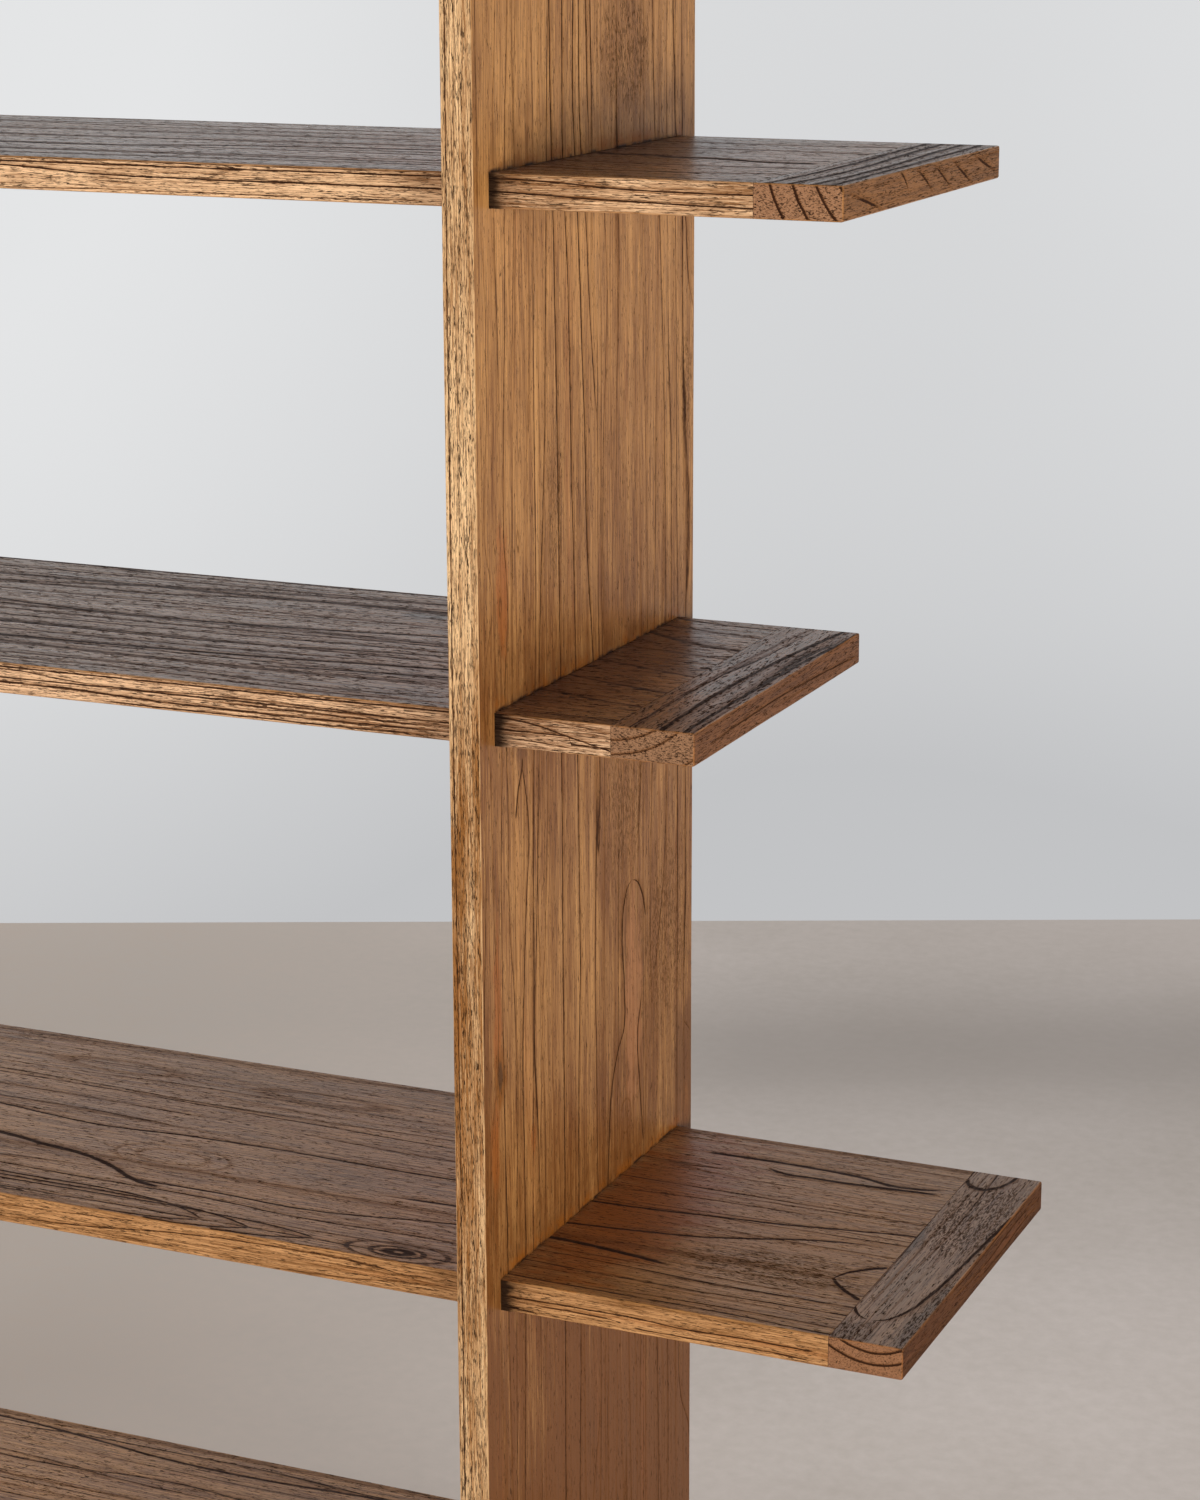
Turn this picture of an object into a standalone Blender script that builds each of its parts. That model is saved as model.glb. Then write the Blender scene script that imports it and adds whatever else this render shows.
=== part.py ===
"""A tall open bookcase: two slotted uprights carry six shelves that pass right through them.

Each shelf is a board with a breadboard end at either side, held on by a hidden loose spline.
A plugged screw in the rear edge of each upright stops the shelf from sliding in its slot.

Run it with blender --background --python part.py, or from Blender's text editor.
Units are metres. +Z is up, the front faces -Y, and the origin is on the floor under the middle.
"""

import math

import bmesh
import bpy
from mathutils import Matrix, Vector

# Uprights
UPRIGHT_DEPTH = 0.400
UPRIGHT_THICKNESS = 0.024
UPRIGHT_PAST_TOP_SHELF = 0.079
UPRIGHT_EASING = 0.0012
INNER_SPAN = 1.050

# Shelves, the lowest first
SHELF_THICKNESS = 0.024
SHELF_EASING = 0.0016
EASING_STOP = 0.008
EASING_RUNOUT = 0.006
FRONT_SETBACK = 0.025
REAR_SETBACK = 0.030
FLOOR_GAP = 0.079
BAY_HEIGHTS = (0.356, 0.407, 0.354, 0.356, 0.356)
RIGHT_OVERHANGS = (0.190, 0.312, 0.152, 0.255, 0.190, 0.285)
LEFT_OVERHANGS = (0.285, 0.190, 0.255, 0.152, 0.312, 0.190)

# Breadboard ends and their splines
END_WIDTH = 0.063
SPLINE_THICKNESS = 0.008
SPLINE_REACH = 0.014
SPLINE_STOP = 0.032

# Locking screws and the plugs that cover them
SCREW_LENGTH = 0.065
SCREW_HEAD_RADIUS = 0.0043
SCREW_HEAD_HEIGHT = 0.0028
SCREW_SHANK_RADIUS = 0.0019
SCREW_THREAD_RADIUS = 0.0023
SCREW_SHANK_LENGTH = 0.026
SCREW_POINT_LENGTH = 0.006
PLUG_RADIUS = 0.005
PLUG_LENGTH = 0.007
PLUG_CHAMFER = 0.0006

# Nail-on glides under the uprights
GLIDE_RADIUS = 0.010
GLIDE_HEIGHT = 0.005
GLIDE_FLAT_RADIUS = 0.008
GLIDE_PIN_RADIUS = 0.0015
GLIDE_PIN_LENGTH = 0.016
GLIDE_INSET = 0.035

# Gap between two pieces that touch on the real object
SEAT_GAP = 0.0003

ROUND_SIDES = 20
EASING_SEGMENTS = 3
SPLINE_NOSE_SEGMENTS = 6
GLIDE_CURVE_STEPS = 4
CUTTER_MARGIN = 0.010
MERGE_DISTANCE = 1e-6
SMOOTH_UNDER = math.radians(30)

# Colours are linear red, green and blue
UPRIGHT_WOOD = {"color": (0.390, 0.215, 0.100), "roughness": 0.42, "metallic": 0.0}
BOARD_WOOD = {"color": (0.280, 0.165, 0.095), "roughness": 0.40, "metallic": 0.0}
END_WOOD = {"color": (0.260, 0.150, 0.085), "roughness": 0.45, "metallic": 0.0}
BARE_WOOD = {"color": (0.520, 0.360, 0.210), "roughness": 0.60, "metallic": 0.0}
STEEL = {"color": (0.550, 0.520, 0.440), "roughness": 0.35, "metallic": 1.0}
GLIDE_PLASTIC = {"color": (0.110, 0.080, 0.060), "roughness": 0.50, "metallic": 0.0}

SIDES = {"left": -1, "right": 1}


def shelf_undersides():
    """Height of each shelf's underside, the lowest first."""
    heights = [FLOOR_GAP]
    for bay in BAY_HEIGHTS:
        heights.append(heights[-1] + SHELF_THICKNESS + bay)
    return heights


def shelf_depth():
    return UPRIGHT_DEPTH - FRONT_SETBACK - REAR_SETBACK


def shelf_centre_y():
    """The shelf lies between its two setbacks, which may differ."""
    return (FRONT_SETBACK - REAR_SETBACK) / 2


def upright_height():
    """From the top of the glide to the top of the upright."""
    top_shelf = shelf_undersides()[-1] + SHELF_THICKNESS
    return top_shelf + UPRIGHT_PAST_TOP_SHELF - glide_seat_height()


def upright_centre_x(side):
    return SIDES[side] * (INNER_SPAN + UPRIGHT_THICKNESS) / 2


def upright_outer_x():
    return INNER_SPAN / 2 + UPRIGHT_THICKNESS


def glide_seat_height():
    """Height of the upright's lower edge, just above the glide's disc."""
    return GLIDE_HEIGHT + SEAT_GAP


def overhang(index, side):
    """How far a shelf reaches past the outer face of an upright."""
    lengths = RIGHT_OVERHANGS if side == "right" else LEFT_OVERHANGS
    return lengths[index]


def spline_length():
    return shelf_depth() - 2 * SPLINE_STOP


def clear_scene():
    for obj in list(bpy.data.objects):
        bpy.data.objects.remove(obj, do_unlink=True)


def material(name, finish):
    """A Principled BSDF with the colour, roughness and metallic value of a finish."""
    made = bpy.data.materials.new(name)
    made.use_nodes = True
    shader = made.node_tree.nodes["Principled BSDF"]
    shader.inputs["Base Color"].default_value = (*finish["color"], 1.0)
    shader.inputs["Roughness"].default_value = finish["roughness"]
    shader.inputs["Metallic"].default_value = finish["metallic"]
    return made


def object_from(name, mesh_builder, finish=None):
    """Turns a bmesh into a named object in the scene, with its own material."""
    mesh = bpy.data.meshes.new(name)
    bmesh.ops.recalc_face_normals(mesh_builder, faces=mesh_builder.faces)
    mesh_builder.to_mesh(mesh)
    mesh_builder.free()
    obj = bpy.data.objects.new(name, mesh)
    bpy.context.scene.collection.objects.link(obj)
    if finish is not None:
        mesh.materials.append(material(name, finish))
    return obj


def empty(name, location, parent=None):
    obj = bpy.data.objects.new(name, None)
    obj.location = location
    obj.parent = parent
    bpy.context.scene.collection.objects.link(obj)
    return obj


def add_box(builder, size, centre=(0, 0, 0)):
    place = Matrix.Translation(Vector(centre)) @ Matrix.Diagonal((*size, 1))
    bmesh.ops.create_cube(builder, size=1, matrix=place)


def add_turned(builder, profile, axis_point=(0, 0, 0)):
    """Revolves (radius, height) points about a line along +Y through axis_point.

    The profile starts and ends on the axis, so the turned shape is closed.
    """
    points = [Vector((radius, height, 0)) for radius, height in profile]
    verts = [builder.verts.new(point + Vector(axis_point)) for point in points]
    edges = [builder.edges.new(pair) for pair in zip(verts, verts[1:])]
    bmesh.ops.spin(
        builder,
        geom=verts + edges,
        cent=axis_point,
        axis=(0, 1, 0),
        angle=math.tau,
        steps=ROUND_SIDES,
        use_merge=True,
    )
    bmesh.ops.remove_doubles(builder, verts=builder.verts, dist=MERGE_DISTANCE)


def turned_object(name, profile, finish):
    """A turned piece about its own +Y axis, shaded smooth between its corners."""
    builder = bmesh.new()
    add_turned(builder, profile)
    obj = object_from(name, builder, finish)
    obj.data.shade_smooth()
    obj.data.set_sharp_from_angle(angle=SMOOTH_UNDER)
    return obj


def ease_edges(obj, width, is_eased):
    """Rounds the box edges for which is_eased(middle of the edge, its direction) holds."""
    mesh = obj.data
    weights = mesh.attributes.new("bevel_weight_edge", "FLOAT", "EDGE")
    for edge in mesh.edges:
        start, end = (mesh.vertices[index].co for index in edge.vertices)
        if is_eased((start + end) / 2, (end - start).normalized()):
            weights.data[edge.index].value = 1.0
    bevel = obj.modifiers.new("easing", "BEVEL")
    bevel.limit_method = "WEIGHT"
    bevel.width = width
    bevel.segments = EASING_SEGMENTS


def cut(obj, builder, label):
    """Cuts the closed shapes of a bmesh out of an object."""
    cutter = object_from(f"{obj.name}_{label}_cutter", builder)
    cutter.parent = obj
    cutter.hide_render = True
    cutter.display_type = "WIRE"
    boolean = obj.modifiers.new(label, "BOOLEAN")
    boolean.operation = "DIFFERENCE"
    boolean.solver = "EXACT"
    boolean.object = cutter


def add_routed_bar(builder, thickness, length, start_x, end_x):
    """A flat bar along X with half-round edges, the shape of a router's pocket and of its spline.

    It is long in Y, thin in Z, and centred on the X axis.
    """
    radius = thickness / 2
    outline = []
    for edge in (1, -1):
        for step in range(SPLINE_NOSE_SEGMENTS + 1):
            angle = math.pi * step / SPLINE_NOSE_SEGMENTS
            y = edge * (length / 2 - radius + radius * math.sin(angle))
            z = edge * radius * math.cos(angle)
            outline.append((y, z))
    verts = [builder.verts.new((start_x, y, z)) for y, z in outline]
    face = builder.faces.new(verts)
    grown = bmesh.ops.extrude_face_region(builder, geom=[face])
    moved = [item for item in grown["geom"] if isinstance(item, bmesh.types.BMVert)]
    bmesh.ops.translate(builder, verts=moved, vec=(end_x - start_x, 0, 0))


def add_spline_pocket(builder, mouth_x, direction):
    """The pocket for half a spline, sunk along X from its mouth in the given direction."""
    add_routed_bar(
        builder,
        SPLINE_THICKNESS + 2 * SEAT_GAP,
        spline_length() + 2 * SEAT_GAP,
        mouth_x - direction * CUTTER_MARGIN,
        mouth_x + direction * (SPLINE_REACH + SEAT_GAP),
    )


def shelf_section(x, easing):
    """Corners of a shelf's cross section at x, each rounded by the easing, or sharp at 0."""
    points = []
    half_depth = shelf_depth() / 2 - easing
    half_thickness = SHELF_THICKNESS / 2 - easing
    for quarter, (side_y, side_z) in enumerate(((1, 1), (-1, 1), (-1, -1), (1, -1))):
        for step in range(EASING_SEGMENTS + 1):
            angle = math.pi / 2 * (quarter + step / EASING_SEGMENTS)
            y = side_y * half_depth + easing * math.cos(angle)
            z = side_z * half_thickness + easing * math.sin(angle)
            points.append((x, y, z))
    return points


def add_loft(builder, sections):
    """A closed body through cross sections that have the same number of points."""
    rings = [[builder.verts.new(point) for point in section] for section in sections]
    for ring, after in zip(rings, rings[1:]):
        for index, vert in enumerate(ring):
            before = ring[index - 1]
            builder.faces.new((before, vert, after[index], after[index - 1]))
    builder.faces.new(rings[0])
    builder.faces.new(rings[-1])
    bmesh.ops.remove_doubles(builder, verts=builder.verts, dist=MERGE_DISTANCE)


def board_stations(length, shift):
    """Where a board's easing changes: (x from the board's middle, easing), from left to right.

    The shelves are sanded in place, so the easing runs out just before each face of an upright
    and the board is sharp where it passes through the slot.
    """
    stations = [(-length / 2, SHELF_EASING), (length / 2, SHELF_EASING)]
    for side in SIDES:
        reach = UPRIGHT_THICKNESS / 2 + EASING_STOP
        for sign in SIDES.values():
            middle = upright_centre_x(side) - shift
            stations.append((middle + sign * reach, 0))
            stations.append((middle + sign * (reach + EASING_RUNOUT), SHELF_EASING))
    return sorted(stations)


def screw_top_y():
    """Y of the flat of a screw's head, sunk behind its plug in an upright's rear edge."""
    return UPRIGHT_DEPTH / 2 - PLUG_LENGTH - SEAT_GAP


def slot_behind_head():
    """How far the rear wall of a shelf's slot lies in front of the screw's head."""
    return screw_top_y() - (UPRIGHT_DEPTH / 2 - REAR_SETBACK)


def lock_bore_profile():
    """Half outline of the stepped bore in an upright: plug seat, countersink and clearance hole.

    Heights are along +Y from the screw's head, and the bore opens into the shelf's slot.
    """
    mouth = UPRIGHT_DEPTH / 2 - screw_top_y() + CUTTER_MARGIN
    into_slot = -slot_behind_head() - CUTTER_MARGIN
    plug = PLUG_RADIUS + SEAT_GAP
    head = SCREW_HEAD_RADIUS + SEAT_GAP
    hole = SCREW_THREAD_RADIUS + SEAT_GAP
    return [
        (0, mouth),
        (plug, mouth),
        (plug, 0),
        (head, 0),
        (hole, -SCREW_HEAD_HEIGHT),
        (hole, into_slot),
        (0, into_slot),
    ]


def pilot_profile():
    """Half outline of the blind hole in a shelf's rear edge that the screw bites into."""
    mouth = -slot_behind_head() + CUTTER_MARGIN
    bottom = -SCREW_LENGTH - SEAT_GAP
    hole = SCREW_THREAD_RADIUS + SEAT_GAP
    return [(0, mouth), (hole, mouth), (hole, bottom), (0, bottom)]


def screw_profile():
    """Half outline of a countersunk wood screw, from its head down to its point."""
    shank_end = -SCREW_SHANK_LENGTH
    point_start = -(SCREW_LENGTH - SCREW_POINT_LENGTH)
    return [
        (0, 0),
        (SCREW_HEAD_RADIUS, 0),
        (SCREW_SHANK_RADIUS, -SCREW_HEAD_HEIGHT),
        (SCREW_SHANK_RADIUS, shank_end),
        (SCREW_THREAD_RADIUS, shank_end - (SCREW_THREAD_RADIUS - SCREW_SHANK_RADIUS)),
        (SCREW_THREAD_RADIUS, point_start),
        (0, -SCREW_LENGTH),
    ]


def plug_profile():
    """Half outline of a plug whose inner end is chamfered, so that it starts in its seat."""
    return [
        (0, PLUG_LENGTH),
        (PLUG_RADIUS, PLUG_LENGTH),
        (PLUG_RADIUS, PLUG_CHAMFER),
        (PLUG_RADIUS - PLUG_CHAMFER, 0),
        (0, 0),
    ]


def glide_profile():
    """Half outline of a glide: flat foot, quarter-ellipse shoulder, disc and driven pin."""
    shoulder = []
    for step in range(GLIDE_CURVE_STEPS + 1):
        angle = math.pi / 2 * step / GLIDE_CURVE_STEPS
        radius = GLIDE_FLAT_RADIUS + (GLIDE_RADIUS - GLIDE_FLAT_RADIUS) * math.sin(angle)
        height = GLIDE_HEIGHT / 2 * (1 - math.cos(angle))
        shoulder.append((radius, height))
    return [
        (0, 0),
        *shoulder,
        (GLIDE_RADIUS, GLIDE_HEIGHT),
        (GLIDE_PIN_RADIUS, GLIDE_HEIGHT),
        (GLIDE_PIN_RADIUS, GLIDE_HEIGHT + GLIDE_PIN_LENGTH - GLIDE_PIN_RADIUS),
        (0, GLIDE_HEIGHT + GLIDE_PIN_LENGTH),
    ]


def glide_positions():
    """Y of the front and rear glide under an upright."""
    reach = UPRIGHT_DEPTH / 2 - GLIDE_INSET
    return {"front": -reach, "rear": reach}


def build_upright(side, parent):
    """An upright whose slots, lock bores and glide holes follow the pieces that they take."""
    height = upright_height()
    builder = bmesh.new()
    add_box(builder, (UPRIGHT_THICKNESS, UPRIGHT_DEPTH, height))
    upright = object_from(f"upright_{side}", builder, UPRIGHT_WOOD)
    upright.parent = parent
    centre_z = glide_seat_height() + height / 2
    upright.location = (0, 0, centre_z)
    ease_edges(upright, UPRIGHT_EASING, lambda middle, direction: True)

    slots = bmesh.new()
    bores = bmesh.new()
    for underside in shelf_undersides():
        middle = underside + SHELF_THICKNESS / 2 - centre_z
        size = (
            UPRIGHT_THICKNESS + 2 * CUTTER_MARGIN,
            shelf_depth() + 2 * SEAT_GAP,
            SHELF_THICKNESS + 2 * SEAT_GAP,
        )
        add_box(slots, size, (0, shelf_centre_y(), middle))
        add_turned(bores, lock_bore_profile(), (0, screw_top_y(), middle))
    cut(upright, slots, "slots")
    cut(upright, bores, "lock_bores")

    pin_holes = bmesh.new()
    hole_radius = GLIDE_PIN_RADIUS + SEAT_GAP
    hole_top = GLIDE_HEIGHT + GLIDE_PIN_LENGTH + SEAT_GAP
    hole_height = hole_top - glide_seat_height() + CUTTER_MARGIN
    for y in glide_positions().values():
        hole_z = hole_top - hole_height / 2 - centre_z
        bmesh.ops.create_cone(
            pin_holes,
            cap_ends=True,
            segments=ROUND_SIDES,
            radius1=hole_radius,
            radius2=hole_radius,
            depth=hole_height,
            matrix=Matrix.Translation((0, y, hole_z)),
        )
    cut(upright, pin_holes, "pin_holes")


def build_glide(side, end, y, parent):
    """A glide is turned about +Y, then stood up with its pin in the upright."""
    glide = turned_object(f"glide_{side}_{end}", glide_profile(), GLIDE_PLASTIC)
    glide.parent = parent
    glide.location = (0, y, 0)
    glide.rotation_euler = (math.pi / 2, 0, 0)


def build_shelf_board(index, length, parent):
    """The long board of a shelf, with a pocket in each end and two pilot holes behind."""
    shift = (overhang(index, "right") - overhang(index, "left")) / 2
    builder = bmesh.new()
    add_loft(builder, [shelf_section(x, easing) for x, easing in board_stations(length, shift)])
    board = object_from(f"shelf_{index + 1}_board", builder, BOARD_WOOD)
    board.parent = parent
    board.location = (shift, 0, 0)

    pockets = bmesh.new()
    pilots = bmesh.new()
    for side, sign in SIDES.items():
        add_spline_pocket(pockets, sign * length / 2, -sign)
        axis_point = (upright_centre_x(side) - shift, screw_top_y() - shelf_centre_y(), 0)
        add_turned(pilots, pilot_profile(), axis_point)
    cut(board, pockets, "pockets")
    cut(board, pilots, "pilots")


def build_shelf_end(index, side, parent):
    """A breadboard end, whose grain runs across the shelf, and its pocket for the spline."""
    sign = SIDES[side]
    width = END_WIDTH - SEAT_GAP
    builder = bmesh.new()
    add_box(builder, (width, shelf_depth(), SHELF_THICKNESS))
    end = object_from(f"shelf_{index + 1}_end_{side}", builder, END_WOOD)
    end.parent = parent
    tip = upright_outer_x() + overhang(index, side)
    end.location = (sign * (tip - width / 2), 0, 0)
    joint_x = -sign * width / 2

    def is_eased(middle, direction):
        """All edges but the four that meet the board, which stay crisp."""
        return abs(middle.x - joint_x) > SEAT_GAP

    ease_edges(end, SHELF_EASING, is_eased)
    pocket = bmesh.new()
    add_spline_pocket(pocket, joint_x, sign)
    cut(end, pocket, "pocket")


def build_spline(index, side, parent):
    """The loose spline that bridges the joint between a board and its breadboard end."""
    builder = bmesh.new()
    add_routed_bar(builder, SPLINE_THICKNESS, spline_length(), -SPLINE_REACH, SPLINE_REACH)
    spline = object_from(f"shelf_{index + 1}_spline_{side}", builder, BARE_WOOD)
    spline.parent = parent
    joint_x = upright_outer_x() + overhang(index, side) - END_WIDTH + SEAT_GAP / 2
    spline.location = (SIDES[side] * joint_x, 0, 0)


def build_lock(index, side, parent):
    """The screw that locks a shelf in its slot, and the plug that hides its head."""
    screw = turned_object(f"lock_screw_{side}_{index + 1}", screw_profile(), STEEL)
    screw.parent = parent
    screw.location = (upright_centre_x(side), screw_top_y(), 0)
    plug = turned_object(f"screw_plug_{side}_{index + 1}", plug_profile(), END_WOOD)
    plug.parent = parent
    plug.location = (upright_centre_x(side), screw_top_y() + SEAT_GAP, 0)


def build_shelf(index, underside, parent):
    """One shelf and the locks that hold it in the uprights."""
    middle = underside + SHELF_THICKNESS / 2
    level = empty(f"shelf_{index + 1}", (0, shelf_centre_y(), middle), parent)
    reach = sum(overhang(index, side) for side in SIDES)
    length = 2 * upright_outer_x() + reach - 2 * END_WIDTH
    build_shelf_board(index, length, level)
    locks = empty(f"locks_{index + 1}", (0, 0, middle), parent)
    for side in SIDES:
        build_shelf_end(index, side, level)
        build_spline(index, side, level)
        build_lock(index, side, locks)


def main():
    clear_scene()
    bookcase = empty("bookcase", (0, 0, 0))
    for side in SIDES:
        frame = empty(f"frame_{side}", (upright_centre_x(side), 0, 0), bookcase)
        build_upright(side, frame)
        for end, y in glide_positions().items():
            build_glide(side, end, y, frame)
    for index, underside in enumerate(shelf_undersides()):
        build_shelf(index, underside, bookcase)


main()
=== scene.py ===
import logging
import math
import random
from collections.abc import Callable, Iterable, Sequence
from dataclasses import dataclass
from enum import Enum
from functools import partial
from typing import Any

import bmesh
import bpy
from mathutils import Matrix, Vector, noise


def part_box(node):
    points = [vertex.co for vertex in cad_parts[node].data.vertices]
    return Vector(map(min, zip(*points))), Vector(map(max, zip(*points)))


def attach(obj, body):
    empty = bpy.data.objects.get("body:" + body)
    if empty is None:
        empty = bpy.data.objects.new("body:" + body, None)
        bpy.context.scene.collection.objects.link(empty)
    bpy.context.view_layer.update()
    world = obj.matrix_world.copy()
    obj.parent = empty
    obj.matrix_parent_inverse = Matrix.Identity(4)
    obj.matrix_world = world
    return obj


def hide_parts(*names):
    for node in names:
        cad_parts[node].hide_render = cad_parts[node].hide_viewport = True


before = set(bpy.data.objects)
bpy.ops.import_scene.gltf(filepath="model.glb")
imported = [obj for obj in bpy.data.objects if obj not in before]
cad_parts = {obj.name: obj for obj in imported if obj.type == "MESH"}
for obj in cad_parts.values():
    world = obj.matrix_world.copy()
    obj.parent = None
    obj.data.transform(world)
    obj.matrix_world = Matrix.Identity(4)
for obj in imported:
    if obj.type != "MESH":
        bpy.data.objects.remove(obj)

LOG = logging.getLogger("bookcase")

# Sizes of the picture, in its own pixels
PHOTO_WIDTH = 1200
PHOTO_HEIGHT = 1500

MM = 1000.0
SEAT_GAP = 0.0003
SIDES = {"left": -1, "right": 1}
SHELVES = (1, 2, 3, 4, 5, 6)
TO_REAR = Vector((0, 1, 0))
HARDWARE_NAMES = tuple(f"{side}_{n}" for side in SIDES for n in SHELVES)

# Short names for the types that come up often
Point = tuple[float, float]
Tree = bpy.types.NodeTree
Node = bpy.types.Node
Thing = bpy.types.Object
Builder = bmesh.types.BMesh
Adder = Callable[..., Node]

# The setting that says what a node of its class does
CHOICES = {
    "Math": "operation",
    "VectorMath": "operation",
    "MapRange": "interpolation_type",
    "Mix": "data_type",
    "TexWhiteNoise": "noise_dimensions",
    "MeshBoolean": "operation",
}


def linear(hex_colour: str) -> tuple[float, float, float, float]:
    """Turns a colour as a screen shows it into the linear values that a shader takes.

    Args:
        hex_colour: sRGB colour such as "#b98a57".

    Returns:
        Linear red, green, blue and an alpha of 1.
    """
    channels = [int(hex_colour[i : i + 2], 16) / 255 for i in (1, 3, 5)]
    low = [c / 12.92 if c <= 0.04045 else ((c + 0.055) / 1.055) ** 2.4 for c in channels]
    return (low[0], low[1], low[2], 1.0)


def draw_line(node: Node, points: Sequence[Point], smooth: bool) -> None:
    """Puts a line through points on a Float Curve node, level beyond both ends.

    Args:
        node: the Float Curve node.
        points: input and output values, in the order of the input.
        smooth: whether the line bends smoothly or runs straight between the points.
    """
    mapping = node.mapping
    mapping.use_clip = False
    mapping.extend = "HORIZONTAL"
    curve = mapping.curves[0]
    for _ in range(len(points) - len(curve.points)):
        curve.points.new(0.5, 0.5)
    for point, place in zip(curve.points, points):
        point.location = place
        point.handle_type = "AUTO" if smooth else "VECTOR"
    mapping.update()


def add_node(
    tree: Tree, kind: str, *values: Any, line: Sequence[Point] = (), smooth: bool = True, **named: Any
) -> Node:
    """Adds one node to a tree with its settings and its links.

    Args:
        tree: the node tree that takes the node.
        kind: the node's class without the tree's own prefix and, after a space, what the node does.
        values: for each input in use, in order, a value, a socket, a node whose first output feeds it, or None.
        line: points of a Float Curve.
        smooth: whether that line bends smoothly.
        named: settings in lower case, and inputs by their names with _ for a space.

    Returns:
        The new node.
    """
    name, _, choice = kind.partition(" ")
    node = tree.nodes.new(name if name.startswith("NodeGroup") else tree.bl_idname.removesuffix("Tree") + name)
    if choice:
        setattr(node, CHOICES[name], choice)
    if line:
        draw_line(node, line, smooth)
    for key in [key for key in named if key.islower()]:
        setattr(node, key, named.pop(key))
    used = [socket for socket in node.inputs if socket.enabled]
    given = [*zip(used, values), *((node.inputs[key.replace("_", " ")], value) for key, value in named.items())]
    for socket, value in given:
        for item in value if isinstance(value, list) else [value]:
            if isinstance(item, Node):
                item = next(output for output in item.outputs if output.enabled)
            if isinstance(item, bpy.types.NodeSocket):
                tree.links.new(item, socket)
            elif item is not None:
                socket.default_value = item
    return node


class Finish:
    """A material that a node tree draws, named for what the real one is and how its surface was made."""

    name: str

    def surface(self, add: Adder) -> Node:
        """Draws the finish with nodes and gives the shader."""
        raise NotImplementedError

    def make(self) -> bpy.types.Material:
        """Builds the material.

        Returns:
            The new material.
        """
        material = bpy.data.materials.new(self.name)
        material.use_nodes = True
        material.node_tree.nodes.clear()
        add = partial(add_node, material.node_tree)
        add("OutputMaterial", self.surface(add))
        return material


# How wood was cut


class GrainDirection(Enum):
    """The frame's axes along the grain, across it and through the piece."""

    UP = (2, 1, 0)
    ALONG_SHELF = (0, 1, 2)
    ACROSS_SHELF = (1, 0, 2)


@dataclass(frozen=True)
class GrainLine:
    """One dark growth line on a face, crisp on one side and soft on the other.

    The path is in millimetres of the frame, along the grain and across it. On an edge the second
    number is the depth under the piece's upper or outer face, as a negative number.
    """

    path: tuple[Point, ...]
    depth: float = 0.55
    width: float = 1.1
    soft: float = 2.6
    fade: float = 45.0
    runs_on: bool = False


@dataclass(frozen=True)
class GrainRing:
    """An oval growth ring, round a knot or at the tip of a cathedral, in millimetres."""

    centre: Point
    half: Point
    depth: float = 0.6
    width: float = 1.2
    soft: float = 2.5


@dataclass(frozen=True)
class EndRings:
    """Growth rings on end grain: where the log's heart lay, and each ring's radius, in millimetres."""

    heart: Point
    radii: tuple[float, ...]
    strength: float = 0.6


@dataclass(frozen=True)
class Patch:
    """A soft oval area of a broad face with its own colour, or crowded with open pores, in millimetres."""

    centre: Point
    half: Point
    colour: str = ""
    share: float = 0.7
    crowd: float = 0.0


@dataclass(frozen=True)
class TimberTone:
    """Colours of one board of oiled mindi wood, as sRGB hex values.

    The stains on an upright, further from a shelf and near it, are stain with painted shade and painted bounce light;
    the seams are dark lines where two pieces meet, stain with painted shade.
    """

    light: str = "#c4925c"
    deep: str = "#946238"
    red: str = "#a85f2a"
    haze: str = "#75471f"
    line: str = "#331b0d"
    pore: str = "#2a170c"
    end_grain: str = "#8f6a50"
    edge_light: str = ""
    edge_deep: str = ""
    # Colour of the arrises: real wear, and a painted highlight
    worn: str = "#b98350"
    far_stain_and_shade: str = "#6b3d12"
    near_stain_and_bounce: str = "#9a5410"
    seat_seam_and_shadow: str = "#2a1408"
    slot_seam_and_shade: str = "#1d1009"


@dataclass(frozen=True)
class TimberFinish(Finish):
    """Solid mindi wood, planed, sanded and oiled, with its own figure for every board.

    The eye reads straight dark growth lines, short open pores that hold the stain, and a satin
    oil that mirrors the pale wall at a low angle.
    """

    name: str
    direction: GrainDirection
    tone: TimberTone
    upper: float
    seed: int
    broad: tuple[GrainLine | GrainRing, ...] = ()
    edge: tuple[GrainLine | GrainRing, ...] = ()
    end: EndRings | None = None
    tone_across: tuple[Point, ...] = ()
    # Painted shade on the broad faces by place along the grain: the higher the value, the deeper
    shade_along: tuple[Point, ...] = ()
    edge_along: tuple[Point, ...] = ()
    patches: tuple[Patch, ...] = ()
    seats: tuple[float, ...] = ()
    dark_by_uprights: bool = False
    contrast: float = 4.4
    pores: float = 1.0
    edge_pores: float = 0.6
    edge_growth: float = 0.4
    hairs: float = 0.35
    ring_gap: float = 11.0
    spread: float = 2.2
    grain: float = 1.6
    roughness: float = 0.36
    gloss: float = 0.5

    def surface(self, add: Adder) -> Node:
        """Draws the wood."""
        return TimberPainter(add, self).paint()


# Darkness across a growth line and across a ring: multiples of the core, multiples of the haze, darkness
LINE_PROFILE = ((-1.7, 0, 0.0), (-0.7, 0, 1.0), (0.7, 0, 1.0), (1.5, 0, 0.4), (1, 0.4, 0.22), (1, 1, 0.0))
RING_PROFILE = ((-1.7, 0, 0.0), (-0.7, 0, 1.0), (0.7, 0, 1.0), (1.3, 0, 0.55), (1, 1, 0.0))
# Darkness over one year of growth, from the pale early wood to the dark late wood
YEAR_PROFILE = ((0.0, 0.0), (0.4, 0.03), (0.7, 0.25), (0.83, 0.6), (0.9, 1.0), (0.965, 1.0), (1.0, 0.0))
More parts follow.
